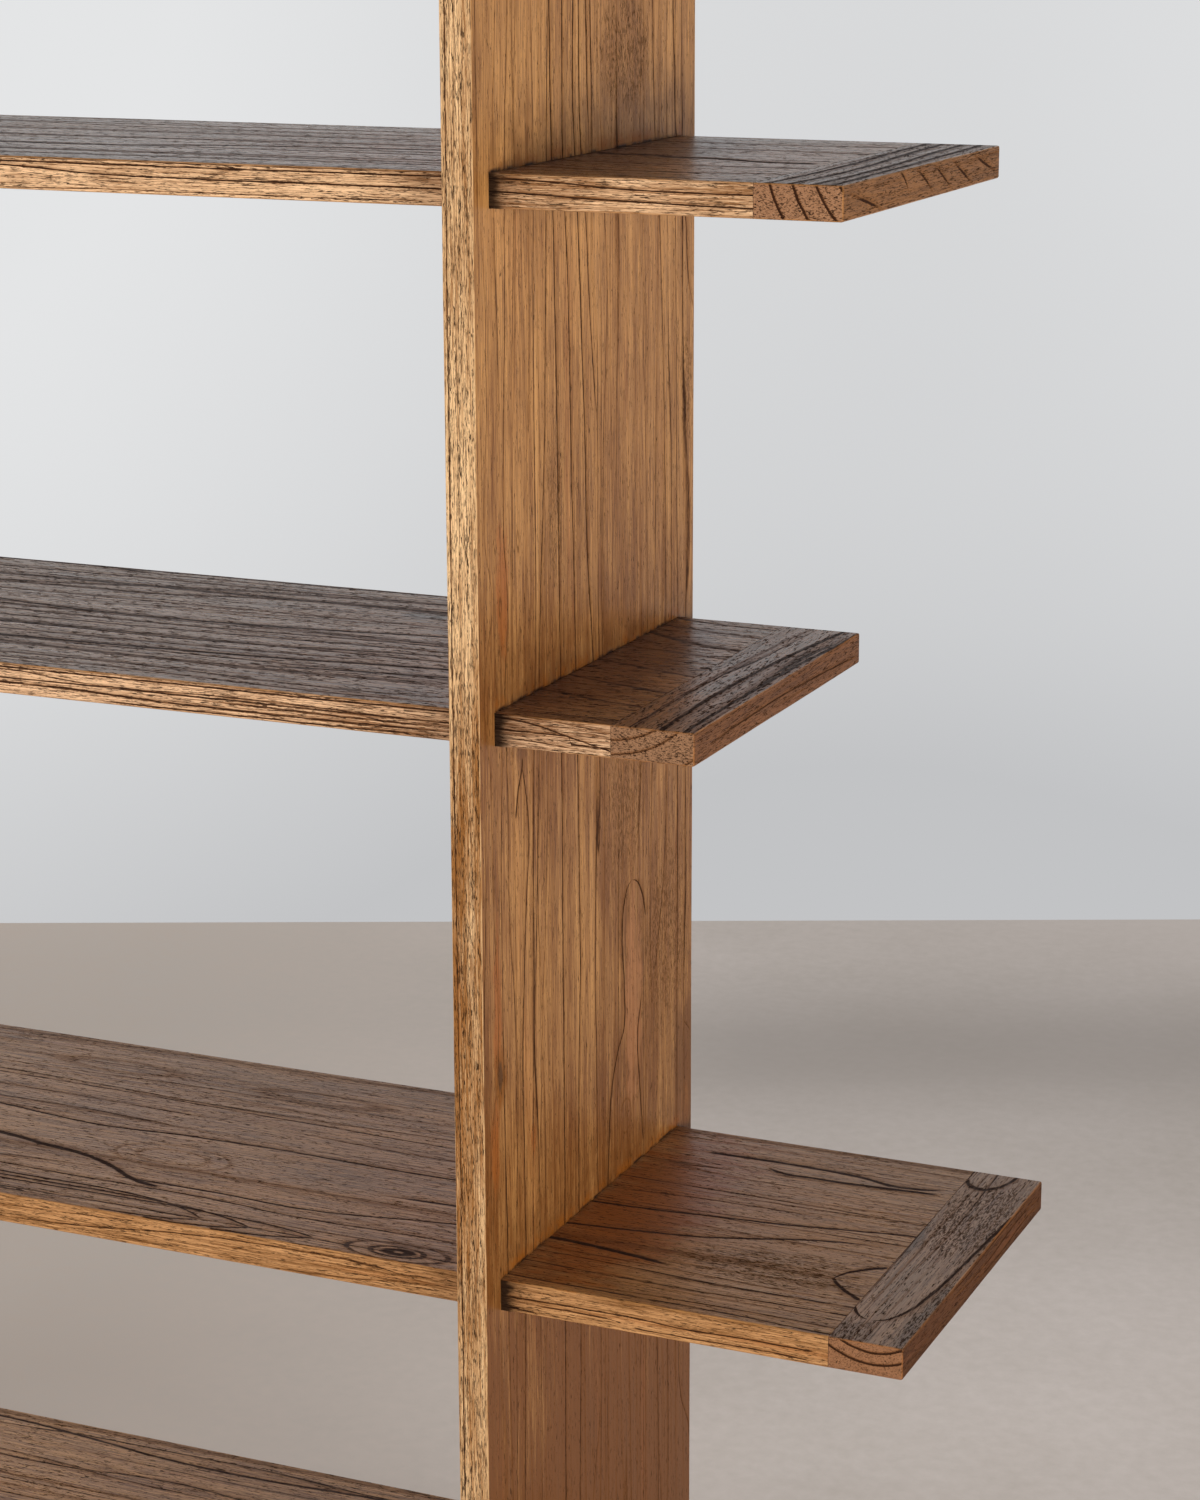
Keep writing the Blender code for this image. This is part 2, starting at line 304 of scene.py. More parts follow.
# Oiled wood's refraction, and the height of its pores and fibres in metres
OILED_WOOD_IOR = 1.47
RELIEF = 0.0004
# Middle of an upright and half its thickness, and the stretch at a shelf's front and rear over which
# the stain and painted shade beside it fade, in millimetres
UPRIGHT_X = 537.0
HALF_UPRIGHT = 12.0
SEAT_END = (170.0, 178.0)


class TimberPainter:
    """Draws one wooden finish in a node tree, in millimetres of the frame."""

    def __init__(self, add: Adder, finish: TimberFinish) -> None:
        """Sets up the coordinates that every part of the pattern reads.

        Args:
            add: adds a node to the material's tree.
            finish: what the wood looks like.
        """
        self.add, self.finish = add, finish
        self.dice = random.Random(finish.seed)
        coordinates = add("TexCoord").outputs
        metres, facing = (add("SeparateXYZ", coordinates[name]).outputs for name in ("Object", "Normal"))
        places = [add("Math MULTIPLY", metres[axis], MM) for axis in finish.direction.value]
        faces = [add("Math ABSOLUTE", facing[axis]) for axis in finish.direction.value]
        self.along, self.across = places[:2]
        self.through = add("Math SUBTRACT", places[2], finish.upper)
        self.end, self.edge, self.broad = (add("MapRange SMOOTHSTEP", face, 0.45, 0.85) for face in faces)
        self.place = add("CombineXYZ", self.along, self.across, self.through)

    def grain_noise(
        self, length: float, breadth: float, detail: float = 2.0, rough: float = 0.5, thick: float = 0.0
    ) -> Node:
        """Noise drawn out along the grain.

        Args:
            length: size of its marks along the grain, in millimetres.
            breadth: size of its marks across the grain.
            detail: octaves of finer marks.
            rough: how strong the finer marks are.
            thick: size of its marks through the piece, or 0 for the usual share of the breadth.

        Returns:
            Values round 0.5.
        """
        shift = tuple(self.dice.uniform(-50, 50) for _ in range(3))
        scale = (1 / length, 1 / breadth, 1 / (thick or breadth * 0.6))
        return self.add("TexNoise", self.add("Mapping", self.place, shift, None, scale), 1.0, detail, rough)

    def noise_step(self, start: float, end: float, low: float, high: float, *noise_sizes: float) -> Node:
        """Marks where a grain noise goes from start to end.

        Args:
            start: noise that counts as low.
            end: noise that counts as high.
            low: value at the start.
            high: value at the end.
            noise_sizes: what grain_noise takes.

        Returns:
            Values from low to high.
        """
        return self.add("MapRange SMOOTHSTEP", self.grain_noise(*noise_sizes), start, end, low, high)

    def reach(self, first: Any, second: Any, centre: Point, half: Point = (1.0, 1.0)) -> Node:
        """Distance from an oval's middle, which is 1 on the oval.

        Args:
            first: place on the oval's first axis.
            second: place on its second axis.
            centre: its middle.
            half: half its size along each axis.

        Returns:
            The distance, in shares of the oval's size.
        """
        scale = (1 / half[0], 1 / half[1], 1.0)
        shift = (-centre[0] * scale[0], -centre[1] * scale[1], 0.0)
        spot = self.add("Mapping", self.add("CombineXYZ", first, second), shift, None, scale)
        return self.add("VectorMath LENGTH", spot)

    def line(self, line: GrainLine, across: Any, spread: float) -> Node:
        """Darkness of one growth line.

        Args:
            line: its path and look.
            across: place across the grain, already wandering a little.
            spread: how much broader the saw's slant makes it on this face.

        Returns:
            Values from 0 to the line's depth.
        """
        middle = self.add("FloatCurve", None, self.along, line=line.path)
        gap = self.add("Math SUBTRACT", across, middle)
        side = 1 if line.soft >= 0 else -1
        core, haze = line.width * 0.45 * spread, abs(line.soft) * 0.8 * (1 + spread)
        profile = sorted((side * (core * a + haze * b), dark) for a, b, dark in LINE_PROFILE)
        look = self.add("FloatCurve", None, gap, line=profile, smooth=False)
        start, end = line.path[0][0], line.path[-1][0]
        fade = min(line.fade, (end - start) * 0.4)
        foot = line.depth if line.runs_on else 0.0
        ends = [(start, foot), (start + fade, line.depth), (end - fade, line.depth), (end, foot)]
        return self.add("Math MULTIPLY", look, self.add("FloatCurve", None, self.along, line=ends, smooth=False))

    def ring(self, ring: GrainRing, across: Any, spread: float) -> Node:
        """Darkness of one oval ring.

        Args:
            ring: its centre, size and look.
            across: place across the grain.
            spread: how much broader the saw's slant makes it on this face.

        Returns:
            Values from 0 to the ring's depth.
        """
        reach = self.reach(self.along, across, ring.centre, ring.half)
        core, haze = ring.width * 0.45 * min(spread, 2.0), ring.soft * 1.5
        profile = [(1 + (core * a + haze * b) / ring.half[1], dark) for a, b, dark in RING_PROFILE]
        look = self.add("FloatCurve", None, reach, line=profile, smooth=False)
        return self.add("Math MULTIPLY", look, ring.depth)

    def figure(self, marks: Iterable[GrainLine | GrainRing], across: Any, spread: float = 1.0) -> Any:
        """Darkness of all the lines and rings on one kind of face.

        Args:
            marks: the lines and rings.
            across: place across the grain, already wandering a little.
            spread: how much broader the saw's slant makes them on this face.

        Returns:
            Values from 0 to 1, or plain 0 without a mark.
        """
        total: Any = 0.0
        for mark in marks:
            draw = self.line if isinstance(mark, GrainLine) else self.ring
            total = self.add("Math MAXIMUM", draw(mark, across, spread), total)
        return total

    def growth_lines(self, across: Node, wander: Node) -> Node:
        """Darkness of every growth line on the piece, both the listed ones and those drawn by rule.

        Args:
            across: place across the grain, which wanders a little.
            wander: by how much it does.

        Returns:
            Values from 0 to 1.
        """
        add, finish = self.add, self.finish
        through = add("Math MULTIPLY_ADD", wander, 0.45, self.through)
        broad = add("Math MULTIPLY", self.figure(finish.broad, across, finish.spread), self.broad)
        edge = add("Math MULTIPLY", self.figure(finish.edge, through), self.edge)
        lines = add("Math MAXIMUM", add("Math MAXIMUM", broad, edge), self.growth())
        lines = add("Math MULTIPLY", lines, self.noise_step(0.34, 0.56, 0.6, 1.0, 16, 1.6, 2.0, 0.7))
        return add("Math MAXIMUM", lines, self.end_rings(finish.end)) if finish.end else lines

    def wood_colour(self, across: Node, fibre: Node, band: Node) -> Node:
        """The wood between its marks, from light early wood to deep late wood.

        Args:
            across: place across the grain, which wanders a little.
            fibre: noise as fine as the fibres.
            band: noise as broad as a band of growth.

        Returns:
            The colour.
        """
        add, finish, tone = self.add, self.finish, self.finish.tone
        cloud = self.grain_noise(200, 50, 3.0, 0.55)
        mix = add("Math MULTIPLY_ADD", cloud, 1.3, -0.95 - finish.contrast / 2)
        mix = add("Math MULTIPLY_ADD", band, 1.3, mix)
        mix = add("Math MULTIPLY_ADD", fibre, finish.contrast, mix)
        if finish.tone_across:
            mix = add("Math ADD", mix, add("FloatCurve", None, across, line=finish.tone_across))
        # On broad faces this paints shade along the grain
        for points, shown in ((finish.shade_along, self.broad), (finish.edge_along, self.edge)):
            if points:
                mix = add("Math MULTIPLY_ADD", add("FloatCurve", None, self.along, line=points), shown, mix)
        light, deep = linear(tone.light), linear(tone.deep)
        if tone.edge_light:
            light = add("Mix RGBA", self.edge, light, linear(tone.edge_light))
            deep = add("Mix RGBA", self.edge, deep, linear(tone.edge_deep))
        return add("Mix RGBA", add("Clamp", mix), light, deep)

    def paint(self) -> Node:
        """Draws the whole finish.

        Returns:
            The shader.
        """
        add, finish, tone = self.add, self.finish, self.finish.tone
        slow = add("Math MULTIPLY_ADD", self.grain_noise(150, 60), 5.0, -2.5)
        quick = add("Math MULTIPLY_ADD", self.grain_noise(11, 3.0, 2.5, 0.6), 1.8, -0.9)
        wander = add("Math ADD", slow, quick)
        across = add("Math ADD", self.across, wander)
        lines = self.growth_lines(across, wander)
        fibre = self.grain_noise(40, finish.grain, 4.0, 0.8, 0.9)
        band = self.grain_noise(620, 9, 4.0, 0.6)
        colour = self.wood_colour(across, fibre, band)

        coats = [(self.noise_step(0.60, 0.80, 0.0, 0.3, 300, 18, 2.0, 0.5), tone.red)]
        crowded: Any = 0.0
        for patch in finish.patches:
            area = add("Math MULTIPLY", self.blot(patch), self.broad)
            crowded = add("Math MULTIPLY_ADD", area, patch.crowd, crowded)
            if patch.colour:
                coats.append((add("Math MULTIPLY", area, patch.share), patch.colour))
        coats.append((self.noise_step(0.54, 0.65, 0.0, 0.6, 90, finish.grain * 0.9, 3.0, 0.7, 0.8), tone.haze))
        hairs = self.noise_step(0.58, 0.64, 0.0, finish.hairs, 130, finish.grain, 2.0, 0.6)
        coats.append((add("Math MULTIPLY", hairs, self.broad), tone.line))
        # Stain on the upright above each shelf, with painted shade and painted bounce light
        if finish.seats:
            coats.append((add("Math MULTIPLY", self.seat_stain_and_shade(70.0), 0.4), tone.far_stain_and_shade))
            coats.append((add("Math MULTIPLY", self.seat_stain_and_shade(14.0), 0.7), tone.near_stain_and_bounce))
        pores = add("Math MAXIMUM", self.pore_marks(lines), self.mottle(crowded))
        coats += [
            (add("Math MULTIPLY", self.end, 0.85), tone.end_grain),
            (add("MapRange SMOOTHSTEP", lines, 0.0, 0.6, 0.0, 0.85), tone.haze),
            (add("MapRange SMOOTHSTEP", lines, 0.3, 0.62, 0.0, 0.97), tone.line),
            (pores, tone.pore),
            # Arrises: real wear and a painted highlight
            (self.arris_wear_and_highlight(), tone.worn),
        ]
        # Dark line along each shelf's joint with the upright: stain and painted shadow
        if finish.seats:
            coats.append((self.seat_stain_and_shade(3.2), tone.seat_seam_and_shadow))
        # Dark stain and painted shade on each shelf edge beside an upright
        if finish.dark_by_uprights:
            coats.append((self.squeeze_out_and_shade(), tone.slot_seam_and_shade))
        for share, shade in coats:
            colour = add("Mix RGBA", share, colour, linear(shade))

        rough = add("Math MULTIPLY_ADD", pores, 0.6, finish.roughness)
        rough = add("Math MULTIPLY_ADD", lines, 0.6, rough)
        rough = add("Math MULTIPLY_ADD", band, 0.24, add("Math ADD", rough, -0.12))
        rough = add("Math MULTIPLY_ADD", self.edge, 0.2, rough)
        height = add("Math MULTIPLY_ADD", pores, -0.9, add("Math MULTIPLY", fibre, 0.7))
        height = add("Math MULTIPLY_ADD", lines, -0.4, height)
        bump = add("Bump", Strength=0.35, Distance=RELIEF, Height=height)
        return add(
            "BsdfPrincipled", colour, Roughness=rough, Normal=bump, IOR=OILED_WOOD_IOR, Specular_IOR_Level=finish.gloss
        )

    def blot(self, patch: Patch) -> Node:
        """A soft oval area with a ragged rim, full at its middle.

        Args:
            patch: where it lies and how large it is.

        Returns:
            Values from 0 to 1.
        """
        reach = self.reach(self.along, self.across, patch.centre, patch.half)
        ragged = self.add("Math MULTIPLY_ADD", self.grain_noise(26, 9, 3.0, 0.6), 1.6, -0.8)
        return self.add("MapRange SMOOTHSTEP", self.add("Math ADD", reach, ragged), 1.1, 0.5)

    def arris_wear_and_highlight(self) -> Node:
        """Where a rounded arris is lighter than the faces beside it: rubbed wear and a painted highlight.

        Returns:
            Values from 0 to 0.6.
        """
        add = self.add
        at_end = add("Math MULTIPLY", self.end, add("Math ADD", self.broad, self.edge))
        both = add("Math MULTIPLY_ADD", self.broad, self.edge, at_end)
        rubbed_and_lit = self.noise_step(0.38, 0.58, 0.25, 1.0, 35, 12, 3.0, 0.6)
        return add("Math MULTIPLY", add("MapRange SMOOTHSTEP", both, 0.04, 0.16, 0.0, 0.6), rubbed_and_lit)

    def mottle(self, crowded: Any) -> Node:
        """Short dark marks that crowd together in some areas, where the pores took up more stain."""
        marks = self.noise_step(0.52, 0.57, 0.0, 0.9, 4.5, 0.55 * self.finish.grain, 1.0, 0.5)
        return self.add("Math MULTIPLY", marks, self.add("Math MINIMUM", crowded, 1.0))

    def growth(self) -> Node:
        """Faint growth lines between the listed ones, each as strong as its year was.

        Returns:
            Values from 0 to about 0.75.
        """
        add = self.add
        place = add("Math MULTIPLY_ADD", self.through, add("Math MULTIPLY", self.edge, 1.6), self.across)
        drift = add("Math MULTIPLY", self.grain_noise(700, 42, 2.0, 0.5), 60.0)
        years = add("Math DIVIDE", add("Math ADD", place, drift), self.finish.ring_gap)
        year = add("TexWhiteNoise 1D", add("Math FLOOR", years))
        strength = add("MapRange SMOOTHSTEP", year, 0.15, 1.0, 0.08, 0.75)
        dark = add("FloatCurve", None, add("Math FRACT", years), line=YEAR_PROFILE, smooth=False)
        look = add("Math MULTIPLY", dark, strength)
        shown = add("Math MULTIPLY_ADD", self.edge, self.finish.edge_growth, self.broad)
        patchy = self.noise_step(0.35, 0.6, 0.25, 1.0, 420, 30, 2.0, 0.5)
        return add("Math MULTIPLY", add("Math MULTIPLY", look, shown), patchy)

    def end_rings(self, rings: EndRings) -> Node:
        """Growth rings where the grain is cut through, as arcs round the heart of the log.

        Args:
            rings: their middle and their radii.

        Returns:
            Values from 0 to the rings' strength.
        """
        reach = self.reach(self.across, self.through, rings.heart)
        radius = self.add("Math MULTIPLY_ADD", self.grain_noise(300, 25), 2.0, reach)
        points: list[Point] = []
        for ring in sorted(rings.radii):
            points += [(ring - 2.6, 0.0), (ring - 0.5, rings.strength), (ring + 0.2, rings.strength), (ring + 0.6, 0.0)]
        return self.add("Math MULTIPLY", self.add("FloatCurve", None, radius, line=points, smooth=False), self.end)

    def pore_marks(self, lines: Node) -> Node:
        """Short open pores that hold dark stain, thicker along the growth lines.

        A real pore is 0.2 mm wide. They are drawn 0.8 mm wide or more, so that they show in the picture.

        Args:
            lines: darkness of the growth lines.

        Returns:
            Values from 0 to 0.93.
        """
        add = self.add
        amount = add("Math MULTIPLY_ADD", self.edge, self.finish.edge_pores, self.finish.pores)
        amount = add("Math MULTIPLY_ADD", self.end, 1.5, amount)
        wide = self.finish.grain / 1.6
        fine = add("Math MULTIPLY_ADD", amount, 0.015, self.grain_noise(9, 1.1 * wide, 2.0, 0.65, 0.6))
        crowd = self.grain_noise(60, 5, 3.0, 0.65)
        level = add("Math MULTIPLY_ADD", crowd, 0.5, add("Math MULTIPLY_ADD", lines, 0.08, 0.05))
        level = add("Math ADD", level, self.grain_noise(8, 1.2 * wide, 2.0, 0.65, 0.65))
        level = add("Math MULTIPLY_ADD", amount, 0.03, level)
        coarse = add("MapRange SMOOTHSTEP", level, 0.97, 1.01, 0.0, 0.93)
        return add("Math MAXIMUM", coarse, add("MapRange SMOOTHSTEP", fine, 0.60, 0.67, 0.0, 0.8))

    def seat_stain_and_shade(self, reach: float) -> Node:
        """Stain that pooled on the upright along each shelf, with painted shade and painted bounce light there.

        Args:
            reach: how far it climbed above the shelf's top, in millimetres.

        Returns:
            Values from 0 to 1.
        """
        add = self.add
        total: Any = 0.0
        for height in self.finish.seats:
            up = add("Math ABSOLUTE", add("Math SUBTRACT", self.along, height))
            total = add("Math MAXIMUM", add("MapRange SMOOTHSTEP", up, reach, reach * 0.2), total)
        beside = add("MapRange SMOOTHSTEP", add("Math ABSOLUTE", self.across), *SEAT_END, 1.0, 0.0)
        patchy = self.noise_step(0.42, 0.6, 0.12, 1.0, 24, 18, 3.0, 0.7)
        return add("Math MULTIPLY", add("Math MULTIPLY", total, patchy), beside)

    def squeeze_out_and_shade(self) -> Node:
        """Dark stain and painted shade on a shelf's edge where it meets an upright.

        Returns:
            Values from 0 to 0.95.
        """
        add = self.add
        from_middle = add("Math SUBTRACT", add("Math ABSOLUTE", self.along), UPRIGHT_X)
        reach = add("Math SUBTRACT", add("Math ABSOLUTE", from_middle), HALF_UPRIGHT)
        reach = add("Math MULTIPLY_ADD", self.grain_noise(9, 6), -12.0, add("Math ADD", reach, 6.0))
        return add("Math MULTIPLY", add("MapRange SMOOTHSTEP", reach, 14.0, 3.0, 0.0, 0.95), self.edge)


# Growth lines that the picture shows, read as millimetres of the frame

UPRIGHT_LINES = (
    GrainLine(((483, -188), (610, -185), (640, -177), (790, -182), (870, -184), (925, -192), (950, -190), (992, -178),
               (1040, -189), (1128, -184), (1228, -185), (1268, -192)), 0.45, 0.9),
    GrainLine(((150, -151), (300, -150), (440, -148), (690, -146), (750, -154), (860, -156), (920, -159), (990, -153),
               (1040, -158), (1188, -152), (1305, -150), (1405, -144), (1700, -147),
               (2131, -143)), 0.55, 1.0, 1.5, runs_on=True),
    GrainLine(((1120, -142), (1168, -140), (1260, -136), (1305, -136), (1405, -131), (1620, -136)), 0.5, 0.9),
    GrainLine(((280, -136), (380, -133), (491, -131), (630, -132), (690, -130), (750, -126), (812, -120),
               (843, -124), (868, -132)),
              0.75, 1.3, -4, 10),
    GrainLine(((826, -143), (850, -137), (862, -131), (872, -130)), 0.9, 1.6, 4, 5),
    GrainLine(((440, -119), (483, -118), (640, -113), (740, -107), (870, -100), (930, -98), (1028, -92), (1088, -88),
               (1200, -84), (1310, -80), (1400, -77), (1640, -82)), 0.75, 1.0, 2.5),
    GrainLine(((520, -104), (650, -98), (750, -90), (880, -84)), 0.5, 0.9),
    GrainLine(((0, -64), (270, -60), (400, -59), (690, -59), (860, -60), (1040, -64), (1188, -68), (1255, -70),
               (1400, -74),
               (1700, -70), (2131, -76)), 0.95, 1.2, 3.0, runs_on=True),
    GrainLine(((120, -36), (250, -33), (385, -30), (490, -32), (590, -31), (700, -27), (740, -28), (850, -31),
               (930, -34),
               (1068, -40), (1148, -42), (1210, -45), (1300, -53), (1400, -52), (1720, -60)), 0.9, 1.1, 2.6),
    GrainLine(((885, 1), (920, -2), (1008, -12), (1088, -15), (1190, -22), (1260, -27), (1330, -34), (1400, -33),
               (1600, -37)), 0.95, 1.3, 3.0),
    GrainLine(((1080, 10), (1140, 0), (1180, -5), (1250, -12), (1300, -20), (1400, -23), (1560, -24)), 0.75, 1.2),
    GrainLine(((1290, -5), (1400, -11), (1560, -15)), 0.8, 1.2),
    GrainLine(((900, 20), (1080, 20), (1140, 24), (1190, 27), (1245, 22), (1300, 17), (1345, 8)), 0.5, 1.0),
    GrainLine(((0, 96), (483, 97), (700, 97), (860, 100), (930, 105), (1048, 101), (1230, 96), (1400, 97), (2131, 95)),
              0.5, 0.7, 0.8, runs_on=True),
    GrainLine(((600, 113), (660, 127), (720, 139), (800, 143), (930, 142), (1068, 139), (1140, 135), (1230, 128),
               (1305, 118), (1400, 114), (1560, 111)), 0.55, 1.2),
    GrainLine(((1135, 200), (1150, 199), (1180, 187), (1225, 181), (1300, 160), (1330, 158), (1395, 154), (1600, 148)),
              0.6, 1.8, 3.5),
    GrainLine(((470, 24), (490, 25), (520, 27), (560, 32), (590, 45), (605, 57), (640, 58), (690, 55), (708, 59),
               (718, 65), (723, 75)),
              0.95, 1.6, -5, 2),
    GrainLine(((685, 101), (700, 97), (711, 91), (719, 83), (723, 72)), 0.95, 1.6, 5, 2),
    GrainLine(((490, 97), (525, 92), (550, 88), (590, 84), (612, 90), (628, 96)), 0.9, 1.3, 2.5, 15),
    GrainLine(((200, 19), (240, 20), (360, 25)), 0.5, 1.0),
    GrainLine(((200, -10), (230, -7), (285, 5), (330, 12)), 0.5, 1.1),
    GrainLine(((100, 137), (170, 135), (210, 130), (310, 127), (400, 126)), 0.5, 1.2),
    GrainLine(((150, 200), (200, 197), (240, 178), (290, 173), (420, 170)), 0.55, 1.3),
    GrainLine(((575, 120), (580, 160), (584, 200)), 0.5, 1.0, 2.0, 10),
    GrainLine(((555, 200), (575, 178)), 0.5, 1.0, 2.0, 6),
    GrainRing((1030, -134), (6, 1.6), 0.45, 1.2, 1.5),
    GrainRing((988, -165), (6, 1.6), 0.45, 1.2, 1.5),
    GrainRing((530, 60), (14, 10), 0.35, 1.2, 2.0),
)

UPRIGHT_EDGE = (
    GrainLine(((0, -20.2), (500, -19.6), (1000, -20.4), (1500, -20), (2131, -19.4)), 0.6, 0.9, 1.5, runs_on=True),
    GrainLine(((300, -10), (700, -7.5), (1100, -8.5)), 0.35, 0.7, 1.2),
    GrainLine(((900, -13), (1300, -14), (1700, -12)), 0.35, 0.7, 1.2),
)

UPRIGHT_PATCHES = (
    Patch((1000, -160), (60, 12), "#a65c22"),
    Patch((690, -175), (70, 8), "#a65c22"),
    Patch((590, -181), (42, 8), "#a65c22"),
    Patch((642, -171), (28, 12), "#8a4e06", 0.85),
    Patch((640, -172), (14, 5), "#3d2408", 0.7),
    Patch((872, -131), (18, 8), "#6a3c18", 0.75),
    Patch((573, -115), (14, 5), "#a65c22"),
    Patch((548, 182), (48, 30), "#70441f", 0.6),
    Patch((1365, 65), (48, 60), "#94602f", 0.4, crowd=0.75),
    Patch((1040, -68), (55, 18), crowd=0.6),
    Patch((1100, 183), (50, 14), crowd=0.7),
    Patch((655, 145), (95, 50), "#a8713f", 0.3, crowd=0.6),
    Patch((800, 60), (90, 40), "#a8713f", 0.25, crowd=0.6),
    Patch((620, 76), (95, 20), "#b5784a", 0.7),
)

SHELF_2_PATCHES = (
    Patch((725, -78), (85, 36), "#5f452c", 0.45, crowd=0.8),
    Patch((715, 115), (60, 6), "#b18a60", 0.5),
    # The next two: painted reflection and shade on the right overhang's top, paler further out and dark orange beside
    # the upright
    Patch((710, -20), (120, 200), "#d9994f", 0.4),
    Patch((596, 0), (60, 200), "#b06008", 0.8),
    Patch((690, -118), (75, 30), "#cf9c68", 0.8),
)

END_2_PATCHES = (
    Patch((-70, 826), (62, 16), "#a58468", 0.6),
    Patch((-120, 857), (75, 10), "#2f1c10", 0.5, crowd=0.9),
    Patch((-162, 815), (26, 22), "#2f1c10", 0.35, crowd=0.8),
    Patch((70, 834), (90, 34), crowd=0.8),
    Patch((15, 806), (40, 9), "#2f1c10", 0.6),
)

SHELF_3_PATCHES = (
    Patch((365, 95), (34, 16), "#3f2615", 0.7),
    # The next two: painted reflection and shade on the right overhang's top, dark beside the upright and paler further
    # out
    Patch((572, 0), (60, 200), "#6e3800", 0.85),
    Patch((700, 85), (72, 140), "#e6bc94", 0.75),
)

SHELF_4_PATCHES = (
    # The next two: painted reflection and shade on the right overhang's top, dark beside the upright and paler further
    # out
    Patch((586, 0), (66, 200), "#5c2c00", 0.85),
    Patch((745, 0), (95, 260), "#e0b48c", 0.6),
)

SHELF_1_LINES = (
    GrainLine(((-700, 150), (-100, 155), (0, 145), (60, 138), (170, 136), (270, 142), (700, 150)), 0.8, 1.4, 3),
    GrainLine(((-650, 92), (-75, 88), (-10, 89), (60, 98), (110, 99), (170, 93), (600, 88)), 0.6, 1.2, 3),
    GrainLine(((-500, 164), (700, 164)), 0.4, 3.0, 4),
    GrainLine(((-600, 52), (200, 58), (650, 50)), 0.45, 1.0),
    GrainLine(((-400, 30), (100, 26), (690, 34)), 0.5, 1.0),
    GrainLine(((-650, -10), (-100, -16), (500, -8)), 0.65, 1.2),
    GrainLine(((-500, -62), (0, -70), (690, -58)), 0.55, 1.1),
    GrainLine(((-600, -112), (100, -104), (650, -118)), 0.6, 1.2),
    GrainLine(((-620, -146), (0, -152), (680, -144)), 0.5, 1.0),
)

SHELF_2_LINES = (
    GrainLine(((-676, 161), (798, 163)), 0.4, 3.0, 4, runs_on=True),
    GrainLine(((-676, 70), (-20, 64), (130, 60), (250, 55), (400, 51), (549, 52), (700, 50),
               (798, 46)), 0.55, 1.1, runs_on=True),
    GrainLine(((-500, 46), (-20, 40), (200, 34)), 0.5, 1.0),
    GrainLine(((262, 32), (415, 25), (549, 25), (620, 30), (665, 31), (740, 31)), 0.5, 1.0),
    GrainLine(((-640, 8), (5, -3), (60, -10), (110, -15), (190, -8), (430, -11), (549, -8), (600, -6), (650, 0),
               (700, 5),
               (750, 14), (798, 22)), 0.8, 1.3, 3, runs_on=True),
    GrainLine(((-560, -50), (40, -62), (90, -71), (125, -76), (160, -89), (205, -112), (225, -114)), 0.95, 2.3, 4, 10),
    GrainLine(((170, -108), (290, -109), (350, -111), (430, -100), (500, -88), (549, -85)), 0.75, 1.2, 2.6, 20),
    GrainLine(((520, -86), (560, -87), (610, -93), (660, -102)), 0.95, 2.2, 4, 25),
    GrainLine(((380, -62), (480, -58), (549, -55), (600, -50), (650, -42), (690, -30), (735, -15),
               (798, -5)), 0.8, 1.4, 3.5),
    GrainLine(((60, -117), (150, -119), (290, -122), (340, -126), (480, -126), (549, -133),
               (798, -135)), 0.6, 1.1, runs_on=True),
    GrainLine(((-600, -128), (90, -133), (220, -137), (262, -147), (287, -160)), 0.85, 1.1, -2.5, 6),
    GrainLine(((-500, -135), (90, -139), (250, -142), (300, -149), (330, -160)), 0.85, 1.1, -2.5, 6),
    GrainLine(((-400, -142), (90, -145), (290, -146), (350, -150), (385, -158)), 0.85, 1.1, -2.5, 6),
    GrainLine(((200, -172), (262, -168), (287, -160)), 0.85, 1.1, 2.5, 4),
    GrainLine(((240, -174), (300, -170), (330, -160)), 0.85, 1.1, 2.5, 4),
    GrainLine(((300, -174), (355, -168), (385, -158)), 0.85, 1.1, 2.5, 4),
    GrainLine(((520, -160), (549, -163), (700, -165), (798, -171)), 0.6, 1.1, runs_on=True),
    GrainLine(((590, 125), (680, 125), (720, 122), (765, 113), (798, 121)), 0.9, 1.9, 4, 12),
    GrainLine(((650, 117), (656, 109), (700, 104), (760, 107), (798, 110)), 0.9, 1.9, -4, 10),
    GrainLine(((773, -78), (779, -64), (786, -56), (798, -46), (806, -42)), 0.95, 2.2, 3, 2),
    GrainLine(((773, -75), (779, -83), (786, -91), (798, -101), (806, -107)), 0.95, 2.2, -4, 2),
    GrainRing((455, -158), (42, 16), 0.55, 1.1, 2.0),
    GrainRing((455, -158), (22, 9), 0.65, 1.2, 2.0),
    GrainRing((456, -158), (9, 4), 0.85, 2.2, 1.5),
    GrainRing((50, 115), (55, 12), 0.3, 2.5, 3.0),
    GrainRing((250, 110), (55, 11), 0.3, 2.5, 3.0),
    GrainRing((200, -55), (32, 14), 0.3, 1.0, 2.0),
    GrainRing((200, -55), (52, 24), 0.3, 1.0, 2.0),
)

